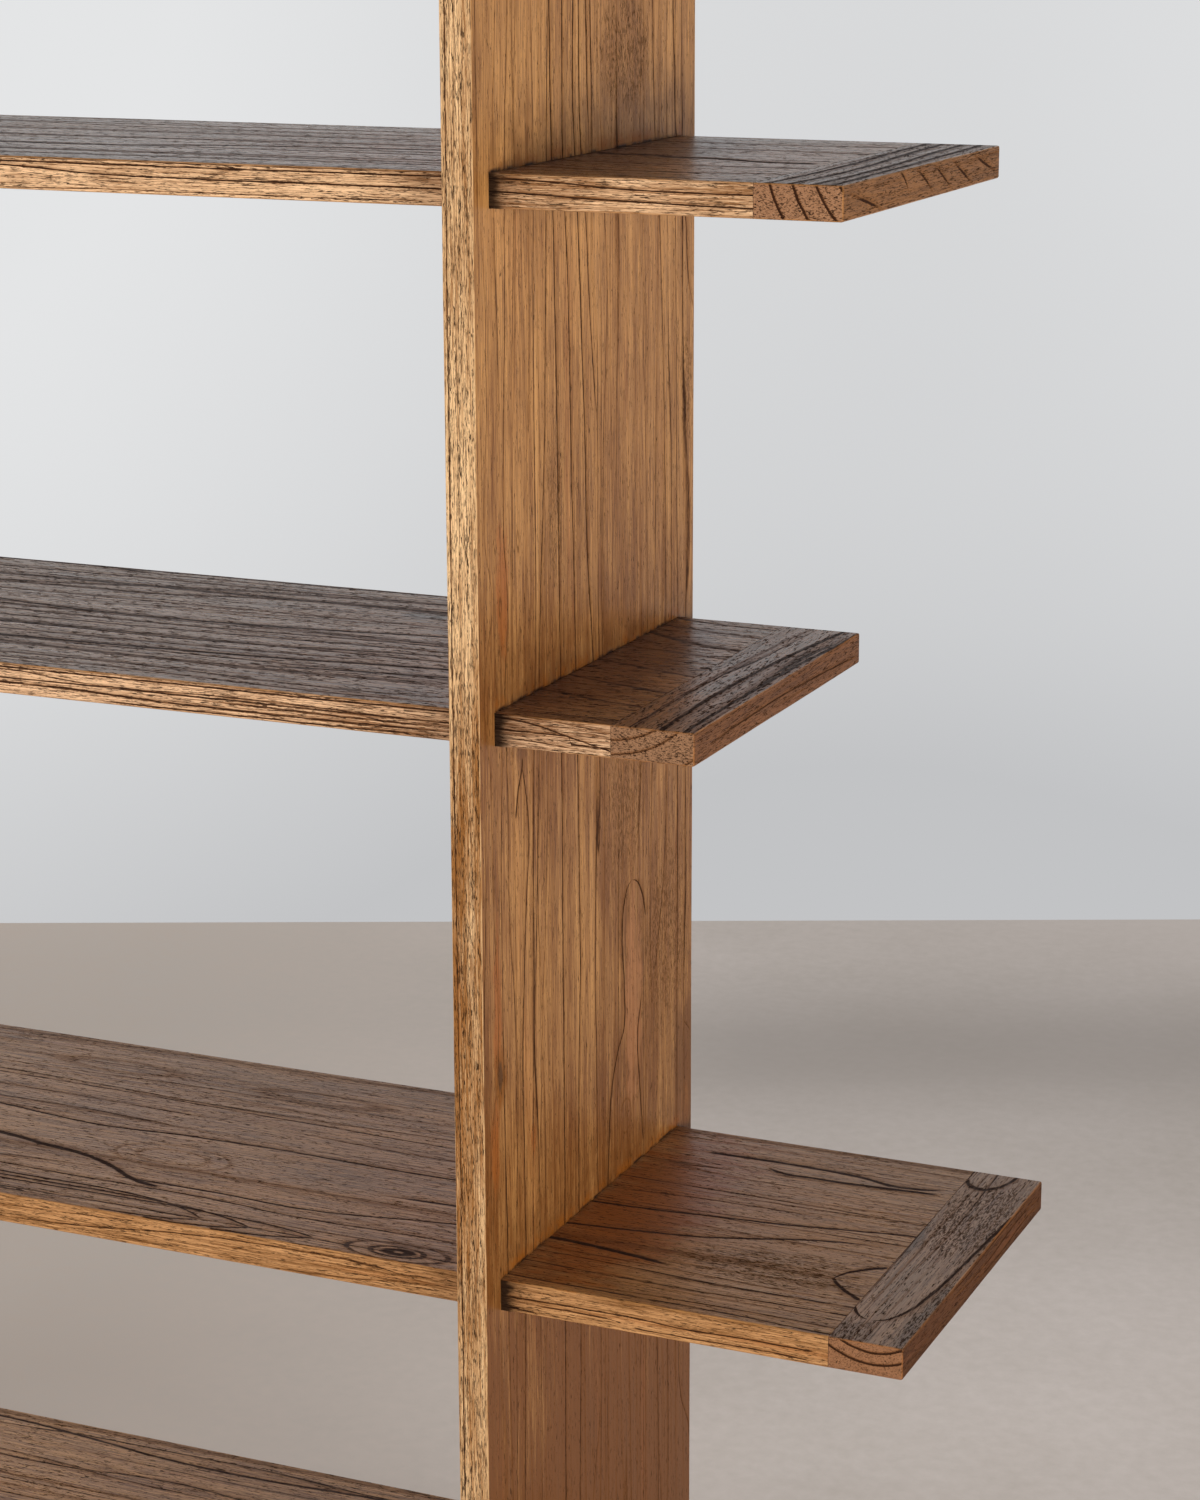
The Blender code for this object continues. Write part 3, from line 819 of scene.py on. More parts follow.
SHELF_3_LINES = (
    GrainLine(((-500, 80), (-20, 88), (50, 100), (120, 113), (200, 125), (330, 135), (450, 142)), 0.55, 2.0, 4),
    GrainLine(((-300, 82), (50, 85), (130, 88), (200, 103), (300, 110), (370, 107), (470, 110)), 0.55, 1.8, 4),
    GrainLine(((-620, 30), (0, 22), (50, 15), (110, 10), (170, 8), (330, 20), (400, 30), (500, 34)), 0.8, 1.3, 3),
    GrainLine(((-500, -2), (30, -8), (200, -10), (400, 0), (520, 5)), 0.6, 1.1),
    GrainLine(((-200, -30), (80, -28), (400, -18), (525, -12)), 0.6, 1.1),
    GrainLine(((-400, -46), (100, -50), (250, -50), (430, -30), (520, -24)), 0.65, 1.2),
    GrainLine(((-300, -76), (90, -72), (300, -66), (420, -58)), 0.55, 1.1),
    GrainLine(((-560, -98), (100, -93), (300, -83), (460, -66), (525, -60)), 0.85, 1.4, 3),
    GrainLine(((300, -112), (330, -108), (470, -90), (525, -86)), 0.7, 1.3, 3),
    GrainLine(((-560, -116), (0, -110), (300, -118), (500, -108)), 0.5, 2.4, 4),
    GrainLine(((-560, -142), (0, -150), (200, -141), (420, -152), (520, -144)), 0.55, 1.1),
    GrainLine(((-560, -158), (0, -163), (200, -155), (420, -165), (520, -160)), 0.5, 1.0),
    GrainLine(((551, 110), (575, 95), (603, 82), (638, 74)), 0.6, 2.2, 4, 10, runs_on=True),
    GrainLine(((549, 166), (565, 160), (638, 152)), 0.6, 1.1, runs_on=True),
    GrainLine(((549, 138), (575, 133), (638, 120)), 0.55, 1.1, runs_on=True),
    GrainLine(((549, 60), (590, 52), (638, 44)), 0.5, 1.1, runs_on=True),
    GrainLine(((549, 8), (590, -4), (638, -18)), 0.55, 1.2, runs_on=True),
    GrainLine(((549, -46), (590, -60), (638, -72)), 0.6, 1.2, runs_on=True),
    GrainLine(((549, -96), (600, -110), (638, -118)), 0.55, 1.1, runs_on=True),
    GrainRing((634, 12), (2.0, 1.6), 0.8, 1.2, 0.6),
)

SHELF_4_LINES = (
    GrainLine(((-500, -60), (100, -68), (180, -67), (250, -45), (300, -35), (430, -20), (525, -12)), 0.85, 1.5, 3),
    GrainLine(((300, -47), (330, -45), (430, -42), (525, -38)), 0.6, 1.1),
    GrainLine(((-560, -10), (60, -3), (430, 12), (525, 18)), 0.5, 2.2, 4),
    GrainLine(((100, -146), (330, -140), (420, -135), (525, -138)), 0.6, 1.2),
    GrainLine(((-600, 122), (-20, 115), (90, 100), (400, 92)), 0.5, 1.2),
    GrainLine(((-600, 60), (0, 52), (525, 60)), 0.5, 1.1),
    GrainLine(((-500, -104), (200, -112), (525, -96)), 0.55, 1.2),
    GrainLine(((549, 2), (570, -3), (600, -3), (615, -12), (650, -13), (690, -27), (735, -28)), 0.95, 2.0, 3, 8),
    GrainLine(((549, 60), (640, 66), (741, 58)), 0.5, 1.2, runs_on=True),
    GrainLine(((549, 120), (640, 112), (741, 122)), 0.5, 1.2, runs_on=True),
    GrainLine(((549, -62), (640, -70), (741, -66)), 0.55, 1.2, runs_on=True),
    GrainLine(((549, -118), (640, -124), (741, -112)), 0.55, 1.2, runs_on=True),
    GrainRing((75, 140), (9, 1.4), 0.7, 0.8, 0.6),
    GrainRing((130, 135), (10, 1.4), 0.7, 0.8, 0.6),
    GrainRing((300, 158), (8, 1.2), 0.7, 0.8, 0.6),
    GrainRing((310, -17), (9, 1.4), 0.7, 0.8, 0.6),
)

SHELF_1_EDGE = (
    GrainLine(((-700, -8), (0, -10), (700, -7)), 0.6, 1.0, 1.5),
    GrainLine(((-700, -16), (0, -18), (700, -15)), 0.5, 1.0, 1.5),
)

SHELF_2_EDGE = (
    GrainLine(((-400, -6), (140, -8), (270, -2)), 0.5, 0.9, 1.5),
    GrainLine(((100, -19), (200, -15), (275, -8), (370, -5), (440, -7), (478, -15)), 0.6, 1.1, 2),
    GrainLine(((380, -3), (440, -6), (478, -10), (510, -4)), 0.6, 1.1, 2),
    GrainLine(((330, -22), (420, -20), (478, -15), (525, -17)), 0.5, 1.4, 2.5),
    GrainLine(((549, -13), (590, -12), (625, -11.7), (665, -12), (690, -13.5), (740, -13.4),
               (798, -14.2)), 0.8, 1.0, 1.6, 8),
    GrainLine(((575, -16.6), (615, -15.8), (642, -16.6)), 0.7, 1.2, 1.5, 10),
    GrainLine(((549, -20.8), (582, -22.4)), 0.6, 1.2, 1.5, 8),
    GrainLine(((650, -20), (715, -20), (765, -20), (798, -21.6)), 0.7, 1.0, 1.5, 12),
)

SHELF_3_EDGE = (
    GrainLine(((-500, -9), (150, -5), (215, -10), (330, -9), (525, -12)), 0.6, 1.0, 1.5),
    GrainLine(((-500, -18), (180, -15), (300, -18), (525, -17)), 0.65, 1.6, 2),
    GrainLine(((200, -21), (300, -22), (525, -21)), 0.6, 1.2, 1.5),
    GrainLine(((300, -13), (400, -14), (525, -14.5)), 0.6, 1.4, 1.5),
    GrainLine(((549, -3), (577, -5), (604, -11), (638, -19)), 0.8, 1.1, 1.8, 6, runs_on=True),
    GrainLine(((590, -1), (620, -4), (638, -6)), 0.5, 0.8, 1.2, 6, runs_on=True),
    GrainLine(((560, -17), (600, -19), (625, -22)), 0.55, 0.9, 1.5, 8),
    GrainLine(((606, -10), (608, -17)), 0.7, 1.2, 1.2, 1, runs_on=True),
)

SHELF_4_EDGE = (
    GrainLine(((-500, -9), (172, -7), (240, -10.8), (430, -11.6), (549, -12.5), (577, -13.3), (611, -14.7),
               (656, -15.5),
               (716, -17), (739, -17.5)), 0.85, 1.0, 1.5, runs_on=True),
    GrainLine(((549, -3.7), (594, -4.5), (629, -6.7), (672, -8), (739, -8.7)), 0.85, 1.0, 1.5, runs_on=True),
    GrainLine(((-400, -1.4), (172, -1.0), (525, -1.2)), 0.6, 0.8, 1.0),
    GrainLine(((-400, -21), (200, -22), (525, -20)), 0.5, 0.9, 1.0),
)

END_4_LINES = (
    GrainLine(((-175, 752), (-60, 756), (60, 752), (170, 749)), 0.75, 1.4, 3, runs_on=True),
    GrainLine(((-175, 767), (-70, 772), (40, 766), (170, 761)), 0.8, 1.4, 3, runs_on=True),
    GrainLine(((-175, 783), (-80, 786), (60, 780), (170, 776)), 0.8, 1.4, 3, runs_on=True),
    GrainLine(((-175, 797), (-60, 795), (60, 793), (170, 790)), 0.75, 1.4, 3, runs_on=True),
)
END_3_LINES = (
    GrainLine(((-175, 676), (-60, 672), (60, 677), (120, 683), (170, 689)), 0.75, 1.3, 3, runs_on=True),
    GrainLine(((-175, 693), (-130, 692), (0, 694), (80, 697), (130, 701)), 0.75, 1.3, 3, runs_on=True),
    GrainLine(((-175, 655), (-40, 650), (90, 656), (170, 663)), 0.45, 1.0, 2.5, runs_on=True),
)
END_2_LINES = (
    GrainLine(((-137, 822), (-135, 829), (-131, 834), (-124, 838), (-110, 843), (-90, 847), (-60, 851), (0, 856),
               (90, 862)),
              0.85, 1.3, 3, 2),
    GrainLine(((-137, 825), (-134, 817), (-128, 811), (-117, 805), (-100, 798), (-90, 794)), 0.85, 1.3, -3, 2),
    GrainRing((176, 821), (42, 20), 0.75, 1.4, 2.0),
)

END_4_SIDE = (
    GrainLine(((-172, -4), (-140, -12), (-90, -24)), 0.85, 1.9, 4),
    GrainLine(((-62, 0), (-46, -10), (-38, -23)), 0.85, 1.9, 4),
    GrainLine(((-30, 0), (-2, -12), (16, -23)), 0.85, 1.9, 4),
    GrainLine(((10, 0), (36, -12), (58, -23)), 0.85, 1.9, 4),
    GrainLine(((52, 0), (80, -12), (108, -23)), 0.85, 1.9, 4),
    GrainLine(((100, 0), (140, -12), (170, -20)), 0.85, 1.9, 4),
)
END_3_SIDE = (
    GrainLine(((-150, -15), (-80, -12.5), (0, -11.5), (60, -13), (120, -15), (170, -18)), 0.8, 1.2, 1.6),
    GrainLine(((-20, -17.5), (30, -17), (70, -18)), 0.4, 0.8, 1.2),
)
END_2_SIDE = (
    GrainLine(((-90, -2), (-20, -3), (60, -1.5), (150, -4)), 0.7, 1.1, 1.6),
    GrainLine(((-60, -9), (20, -12), (100, -8), (170, -12)), 0.7, 1.2, 1.8),
    GrainLine(((-20, -16), (60, -18), (130, -15), (170, -19)), 0.7, 1.2, 1.8),
)


def drifting_lines(
    seed: int, span: Point, breadth: Point, spacing: float, slope: float = 14.0, depth: float = 0.6
) -> tuple[GrainLine, ...]:
    """Growth lines for wood that the picture doesn't show, spaced and bent by chance.

    Args:
        seed: fixes the chance.
        span: first and last place along the grain, in millimetres.
        breadth: first and last place across the grain.
        spacing: usual distance between two lines.
        slope: how far a line drifts sideways over the piece.
        depth: usual darkness of a line.

    Returns:
        The lines, from one side to the other.
    """
    dice = random.Random(seed)
    lines, place = [], breadth[0] + spacing * dice.uniform(0.2, 0.9)
    steps, length = 5, span[1] - span[0]
    while place < breadth[1]:
        lean = dice.uniform(-slope, slope)
        path = tuple(
            (span[0] + length * i / steps, place + lean * (i / steps - 0.5) + dice.uniform(-0.2, 0.2) * slope)
            for i in range(steps + 1)
        )
        depth_here, width = depth * dice.uniform(0.6, 1.35), dice.uniform(0.9, 1.5)
        lines.append(GrainLine(path, depth_here, width, dice.choice((-3.0, 3.0)), runs_on=True))
        place += spacing * dice.uniform(0.45, 1.6)
    return tuple(lines)


# Mesh building


@dataclass
class EasedBar:
    """A straight wooden bar whose long arrises were eased by hand, as a loft along its length.

    Crisp stretches are where a bar passes through an upright, and the crisp side is the face of a
    joint. The easing varies a little from place to place, as sanding by hand leaves it.
    """

    low: Vector
    high: Vector
    long_axis: int
    easing: float = 0.0016
    crisp_spans: tuple[Point, ...] = ()
    crisp_side: int = 0
    eased_ends: bool = True
    seed: int = 0
    step: float = 0.012
    corner_steps: int = 4
    least: float = 0.00005
    least_gap: float = 0.0004
    runout: float = 0.006

    def easing_at(self, place: float, corner: int) -> float:
        """Radius of one arris at one place.

        Args:
            place: where along the bar, in metres.
            corner: which of the four arrises.

        Returns:
            The radius in metres.
        """
        wear = noise.noise(Vector((place * 9.0, corner * 7.3, self.seed * 1.7)))
        fine = noise.noise(Vector((place * 60.0, corner * 3.1, self.seed * 2.9)))
        radius = self.easing * (1.0 + 0.32 * wear + 0.14 * fine)
        for start, end in self.crisp_spans:
            radius *= min(1.0, max(start - place, place - end, 0.0) / self.runout)
        return max(radius, self.least)

    def section(self, place: float, inset: float) -> list[list[float]]:
        """Points of one cross section.

        Args:
            place: where along the bar.
            inset: how far this section is drawn in, near an eased end.

        Returns:
            Its points in the frame, in order.
        """
        across, through = [axis for axis in (0, 1, 2) if axis != self.long_axis]
        points = []
        for corner, (u, v) in enumerate(((1, 1), (-1, 1), (-1, -1), (1, -1))):
            sharp = u == self.crisp_side
            radius = self.least * 4 if sharp else self.easing_at(place, corner)
            radius = max(radius - inset, self.least)
            edge_u, edge_v = (self.low, self.high)[u > 0][across], (self.low, self.high)[v > 0][through]
            centre_u = edge_u - u * (radius if sharp else inset + radius)
            centre_v = edge_v - v * (inset + radius)
            for step in range(self.corner_steps + 1):
                angle = math.pi / 2 * (corner + step / self.corner_steps)
                point = [place] * 3
                point[across] = centre_u + radius * math.cos(angle)
                point[through] = centre_v + radius * math.sin(angle)
                points.append(point)
        return points

    def places(self) -> list[Point]:
        """Where the sections stand along the bar, each with its inset."""
        ends, margin = [(0.0, 0.0)], self.step
        if self.eased_ends:
            turns = [math.pi / 2 * i / self.corner_steps for i in range(self.corner_steps)]
            ends = [(self.easing * (1 - math.cos(a)), self.easing * (1 - math.sin(a))) for a in turns]
            margin = self.easing
        start, end = self.low[self.long_axis], self.high[self.long_axis]
        inner_start, inner_end = start + margin, end - margin
        count = max(2, round((inner_end - inner_start) / self.step))
        marks = {inner_start, inner_end}
        marks.update(inner_start + (inner_end - inner_start) * i / count for i in range(1, count))
        for span_start, span_end in self.crisp_spans:
            marks.update((span_start - self.runout, span_start, span_end, span_end + self.runout))
        kept = [inner_start]
        for mark in sorted(marks):
            if mark <= inner_end and mark - kept[-1] > self.least_gap:
                kept.append(mark)
        first = [(start + along, inset) for along, inset in ends]
        last = [(end - along, inset) for along, inset in reversed(ends)]
        return first + [(mark, 0.0) for mark in kept] + last

    def build(self, name: str) -> Thing:
        """Makes the bar, at the origin, with its place in its mesh."""
        builder = bmesh.new()
        add_loft(builder, [self.section(place, inset) for place, inset in self.places()])
        return object_of(name, builder)


def add_loft(builder: Builder, sections: Iterable[Iterable[Sequence[float]]]) -> None:
    """Adds a closed body through cross sections that have the same number of points.

    Args:
        builder: the bmesh that takes the body.
        sections: the points of each section.
    """
    rings = [[builder.verts.new(point) for point in section] for section in sections]
    faces = []
    for ring, after in zip(rings, rings[1:]):
        for index, vert in enumerate(ring):
            faces.append(builder.faces.new((ring[index - 1], vert, after[index], after[index - 1])))
    faces += [builder.faces.new(rings[0]), builder.faces.new(rings[-1])]
    bmesh.ops.recalc_face_normals(builder, faces=faces)


def add_routed_bar(builder: Builder, centre: Vector, half: Vector) -> None:
    """Adds the shape of a router's pocket: long in Y, thin in Z, with half-round edges.

    Args:
        builder: the bmesh that takes the shape.
        centre: its middle.
        half: half its size along each axis.
    """
    steps, outline = 6, []
    for edge in (1, -1):
        for step in range(steps + 1):
            angle = math.pi * step / steps
            y = edge * (half.y - half.z + half.z * math.sin(angle))
            outline.append((centre.y + y, centre.z + edge * half.z * math.cos(angle)))
    add_loft(builder, [[(centre.x + side * half.x, y, z) for y, z in outline] for side in (-1, 1)])


def add_turned(builder: Builder, outline: Iterable[Point], base: Vector, sides: int = 24) -> None:
    """Adds a closed turned shape about +Y, such as a bore.

    Args:
        builder: the bmesh that takes the shape.
        outline: radius and height along +Y, from one end to the other, without the axis.
        base: where height 0 lies.
        sides: number of flat sides.
    """
    turn = [math.tau * i / sides for i in range(sides)]
    sections = []
    for radius, height in outline:
        y = base.y + height
        sections.append([(base.x + radius * math.cos(a), y, base.z + radius * math.sin(a)) for a in turn])
    add_loft(builder, sections)


def object_of(name: str, builder: Builder) -> Thing:
    """Turns a finished bmesh into an object of the scene.

    Args:
        name: the object's name.
        builder: the bmesh, which is freed.

    Returns:
        The new object at the origin.
    """
    mesh = bpy.data.meshes.new(name)
    builder.to_mesh(mesh)
    builder.free()
    made = bpy.data.objects.new(name, mesh)
    bpy.context.scene.collection.objects.link(made)
    return made


def points_object(name: str, places: Iterable[Sequence[float]]) -> Thing:
    """An object of bare points that a tree puts its instances on.

    Args:
        name: the object's name.
        places: where the points lie.

    Returns:
        The new object.
    """
    builder = bmesh.new()
    for place in places:
        builder.verts.new(place)
    return object_of(name, builder)


def settle(made: Thing, *helpers: Thing) -> Thing:
    """Turns an object's modifiers into its plain mesh and removes them.

    Args:
        made: the object.
        helpers: objects that only the modifiers needed, which are removed too.

    Returns:
        The same object.
    """
    bpy.context.view_layer.update()
    evaluated = made.evaluated_get(bpy.context.evaluated_depsgraph_get())
    mesh = bpy.data.meshes.new_from_object(evaluated)
    made.modifiers.clear()
    old, made.data = made.data, mesh
    mesh.name = made.name
    bpy.data.meshes.remove(old)
    for helper in helpers:
        bpy.data.objects.remove(helper)
    return made


def cut_out(made: Thing, builder: Builder) -> Thing:
    """Cuts closed shapes out of an object.

    Args:
        made: the object to cut.
        builder: the shapes, which are freed.

    Returns:
        The same object with a plain mesh.
    """
    boolean = made.modifiers.new("cut", "BOOLEAN")
    boolean.operation = "DIFFERENCE"
    boolean.solver = "EXACT"
    boolean.object = object_of("cutter", builder)
    return settle(made, boolean.object)


def dress(made: Thing, finish: Finish) -> None:
    """Gives an object one finish."""
    made.data.materials.clear()
    made.data.materials.append(finish.make())


def hand_over(made: Thing, nodes: Sequence[str]) -> None:
    """Joins a finished piece to the frame.

    Args:
        made: the piece.
        nodes: the CAD nodes that it stands for.
    """
    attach(made, "root")
    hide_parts(*nodes)
    LOG.info("%s: %d faces, stands for %s", made.name, len(made.data.polygons), ", ".join(nodes))


def side_middle(node: str, axis: int, high_side: bool = False) -> Vector:
    """Middle of one side of a CAD node's box.

    Args:
        node: the node's name.
        axis: the axis that the side is square to.
        high_side: whether it is the side further along the axis.

    Returns:
        The place in the frame.
    """
    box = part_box(node)
    middle = (box[0] + box[1]) / 2
    middle[axis] = box[high_side][axis]
    return middle


# Geometry node trees


class ToolTree:
    """A geometry node tree with named inputs that makes or cuts what repeats."""

    def __init__(self, name: str, output: str, inputs: dict[str, str]) -> None:
        """Starts the tree.

        Args:
            name: the tree's name.
            output: name of what it gives.
            inputs: name of each input to the kind of its socket.
        """
        self.tree = bpy.data.node_groups.new(name, "GeometryNodeTree")
        self.add = partial(add_node, self.tree)
        new_socket = self.tree.interface.new_socket
        self.keys = {
            label: new_socket(name=label, in_out="INPUT", socket_type=f"NodeSocket{kind}").identifier
            for label, kind in inputs.items()
        }
        new_socket(name=output, in_out="OUTPUT", socket_type="NodeSocketGeometry")
        self.given = self.add("NodeGroupInput").outputs

    def end(self, body: Node, finish: str) -> None:
        """Ends the tree with plain geometry in the finish that an input gives."""
        plain = self.add("RealizeInstances", body)
        self.add("NodeGroupOutput", self.add("SetMaterial", plain, Material=self.given[finish]))

    def run(self, made: Thing, values: dict[str, Any]) -> Thing:
        """Runs the tree on an object and keeps the plain mesh.

        Args:
            made: the object.
            values: input name to value. Objects among them are removed afterwards.

        Returns:
            The same object.
        """
        modifier = made.modifiers.new("tree", "NODES")
        modifier.node_group = self.tree
        for label, value in values.items():
            modifier[self.keys[label]] = value
        return settle(made, *(value for value in values.values() if isinstance(value, Thing)))


class SlotTree(ToolTree):
    """Geometry nodes that cut one slot and one lock bore at every shelf into an upright."""

    def __init__(self) -> None:
        """Builds the tree."""
        inputs = {"Blank": "Geometry", "Slot middles": "Object", "Slot size": "Vector", "Lock bore": "Object"}
        super().__init__("slotted upright", "Upright", {**inputs, "Wood": "Material"})
        add, given = self.add, self.given
        points = add("ObjectInfo", given["Slot middles"]).outputs["Geometry"]
        body = given["Blank"]
        for cutter in (add("MeshCube", given["Slot size"]), add("ObjectInfo", given["Lock bore"]).outputs["Geometry"]):
            cuts = add("InstanceOnPoints", points, Instance=cutter)
            body = add("MeshBoolean DIFFERENCE", body, cuts, solver="EXACT")
        self.end(body, "Wood")


@dataclass(frozen=True)
class Thread:
    """A thread's turns, and its length, root radius, ridge and start height in metres."""

    turns: float = 0.01
    length: float = 0.0
    radius: float = 0.0
    ridge: float = 0.0
    start: float = 0.0


class TurnedTree(ToolTree):
    """Geometry nodes that turn a half outline into a body, add a thread, and set one at every place."""

    weld_distance = 1e-6
    sliver = 1e-7
    sharp_angle = math.radians(35)

    def __init__(self) -> None:
        """Builds the tree."""
        inputs = {"Half outline": "Geometry", "Places": "Object", "Sides": "Int", "Thread turns": "Float",
                  "Thread length": "Float", "Thread radius": "Float", "Thread depth": "Float",
                  "Thread start": "Vector", "Recess": "Object", "Finish": "Material"}
        super().__init__("turned hardware", "Set", inputs)
        add, given = self.add, self.given
        radius = add("InputNamedAttribute", "turned_radius", data_type="FLOAT")
        circle = add("CurvePrimitiveCircle", given["Sides"], Radius=1.0)
        spine = add("MeshToCurve", given["Half outline"])
        body = add("CurveToMesh", spine, circle, Scale=radius, Fill_Caps=True)
        recess = add("ObjectInfo", given["Recess"]).outputs["Geometry"]
        body = add("MeshBoolean DIFFERENCE", body, recess, solver="EXACT")
        thread_radius = given["Thread radius"]
        spiral = add("CurveSpiral", 20, given["Thread turns"], thread_radius, thread_radius, given["Thread length"])
        ridge = add("CurvePrimitiveCircle", 3, Radius=given["Thread depth"])
        thread = add("CurveToMesh", spiral, ridge, Fill_Caps=True)
        upright = (math.pi / 2, 0.0, 0.0)
        thread = add("Transform", thread, Translation=given["Thread start"], Rotation=upright)
        points = add("ObjectInfo", given["Places"]).outputs["Geometry"]
        self.end(add("InstanceOnPoints", points, Instance=add("JoinGeometry", [body, thread])), "Finish")

    def build(
        self, name: str, outline: Iterable[Point], axis: Vector, places: Iterable[Vector], finish: Finish,
        sides: int = 40, thread: Thread = Thread(), recess: Builder | None = None,
    ) -> Thing:
        """Turns one outline and sets a copy at every place.

        Args:
            name: the new object's name.
            outline: radius and height from the base, in metres.
            axis: direction of the height.
            places: where the base of each copy lies.
            finish: the finish.
            sides: flat sides of the turning.
            thread: the thread round it.
            recess: a shape cut from every copy, or None.

        Returns:
            One object with all the copies in its mesh.
        """
        builder = bmesh.new()
        layer = builder.verts.layers.float.new("turned_radius")
        verts = []
        for radius, height in outline:
            verts.append(builder.verts.new(axis * height))
            verts[-1][layer] = radius
        for pair in zip(verts, verts[1:]):
            builder.edges.new(pair)
        made = object_of(name, builder)
        cutter = object_of("recess", bmesh.new() if recess is None else recess)
        self.run(made, {
            "Places": points_object("places", places), "Sides": sides, "Thread turns": thread.turns,
            "Thread length": thread.length, "Thread radius": thread.radius, "Thread depth": thread.ridge,
            "Thread start": tuple(axis * thread.start), "Recess": cutter, "Finish": finish.make(),
        })
        builder = bmesh.new()
        builder.from_mesh(made.data)
        bmesh.ops.remove_doubles(builder, verts=builder.verts, dist=self.weld_distance)
        bmesh.ops.dissolve_degenerate(builder, edges=builder.edges, dist=self.sliver)
        bmesh.ops.delete(builder, geom=[vert for vert in builder.verts if not vert.link_faces], context="VERTS")
        bmesh.ops.recalc_face_normals(builder, faces=builder.faces)
        builder.to_mesh(made.data)
        builder.free()
        made.data.set_sharp_from_angle(angle=self.sharp_angle)
        return made


# Finishes that aren't wood


@dataclass(frozen=True)
class ZincPlatedSteel(Finish):
    """Zinc-plated and yellow-passivated steel, rolled: a bright metal with a faint mottle."""

    name: str = "zinc-plated steel, rolled"
    bright: str = "#c9bd95"
    dull: str = "#a2956c"

    def surface(self, add: Adder) -> Node:
        """Draws the finish.

        Args:
            add: adds a node to the material's tree.

        Returns:
            The shader.
        """
        mottle = add("TexNoise", add("TexCoord").outputs["Object"], 900.0, 3.0)
        colour = add("Mix RGBA", mottle, linear(self.bright), linear(self.dull))
        return add("BsdfPrincipled", colour, Metallic=1.0, Roughness=add("MapRange", mottle, 0.0, 1.0, 0.25, 0.42))


@dataclass(frozen=True)
class MouldedPolyethylene(Finish):
    """Dark brown polyethylene, moulded: a waxy plastic with a fine matt grain."""

    name: str = "polyethylene, moulded"
    colour: str = "#4a3a30"
    worn: str = "#5d4b3f"
    refraction: float = 1.51
    grain_height: float = 0.0001

    def surface(self, add: Adder) -> Node:
        """Draws the finish.

        Args:
            add: adds a node to the material's tree.

        Returns:
            The shader.
        """
        place = add("TexCoord").outputs["Object"]
        wear = add("TexNoise", place, 160.0, 3.0)
        bump = add("Bump", Strength=0.3, Distance=self.grain_height, Height=add("TexNoise", place, 1400.0, 2.0))
        colour = add("Mix RGBA", wear, linear(self.colour), linear(self.worn))
        rough = add("MapRange", wear, 0.0, 1.0, 0.42, 0.6)
        return add("BsdfPrincipled", colour, Roughness=rough, Normal=bump, IOR=self.refraction)


# The bookcase's own parts


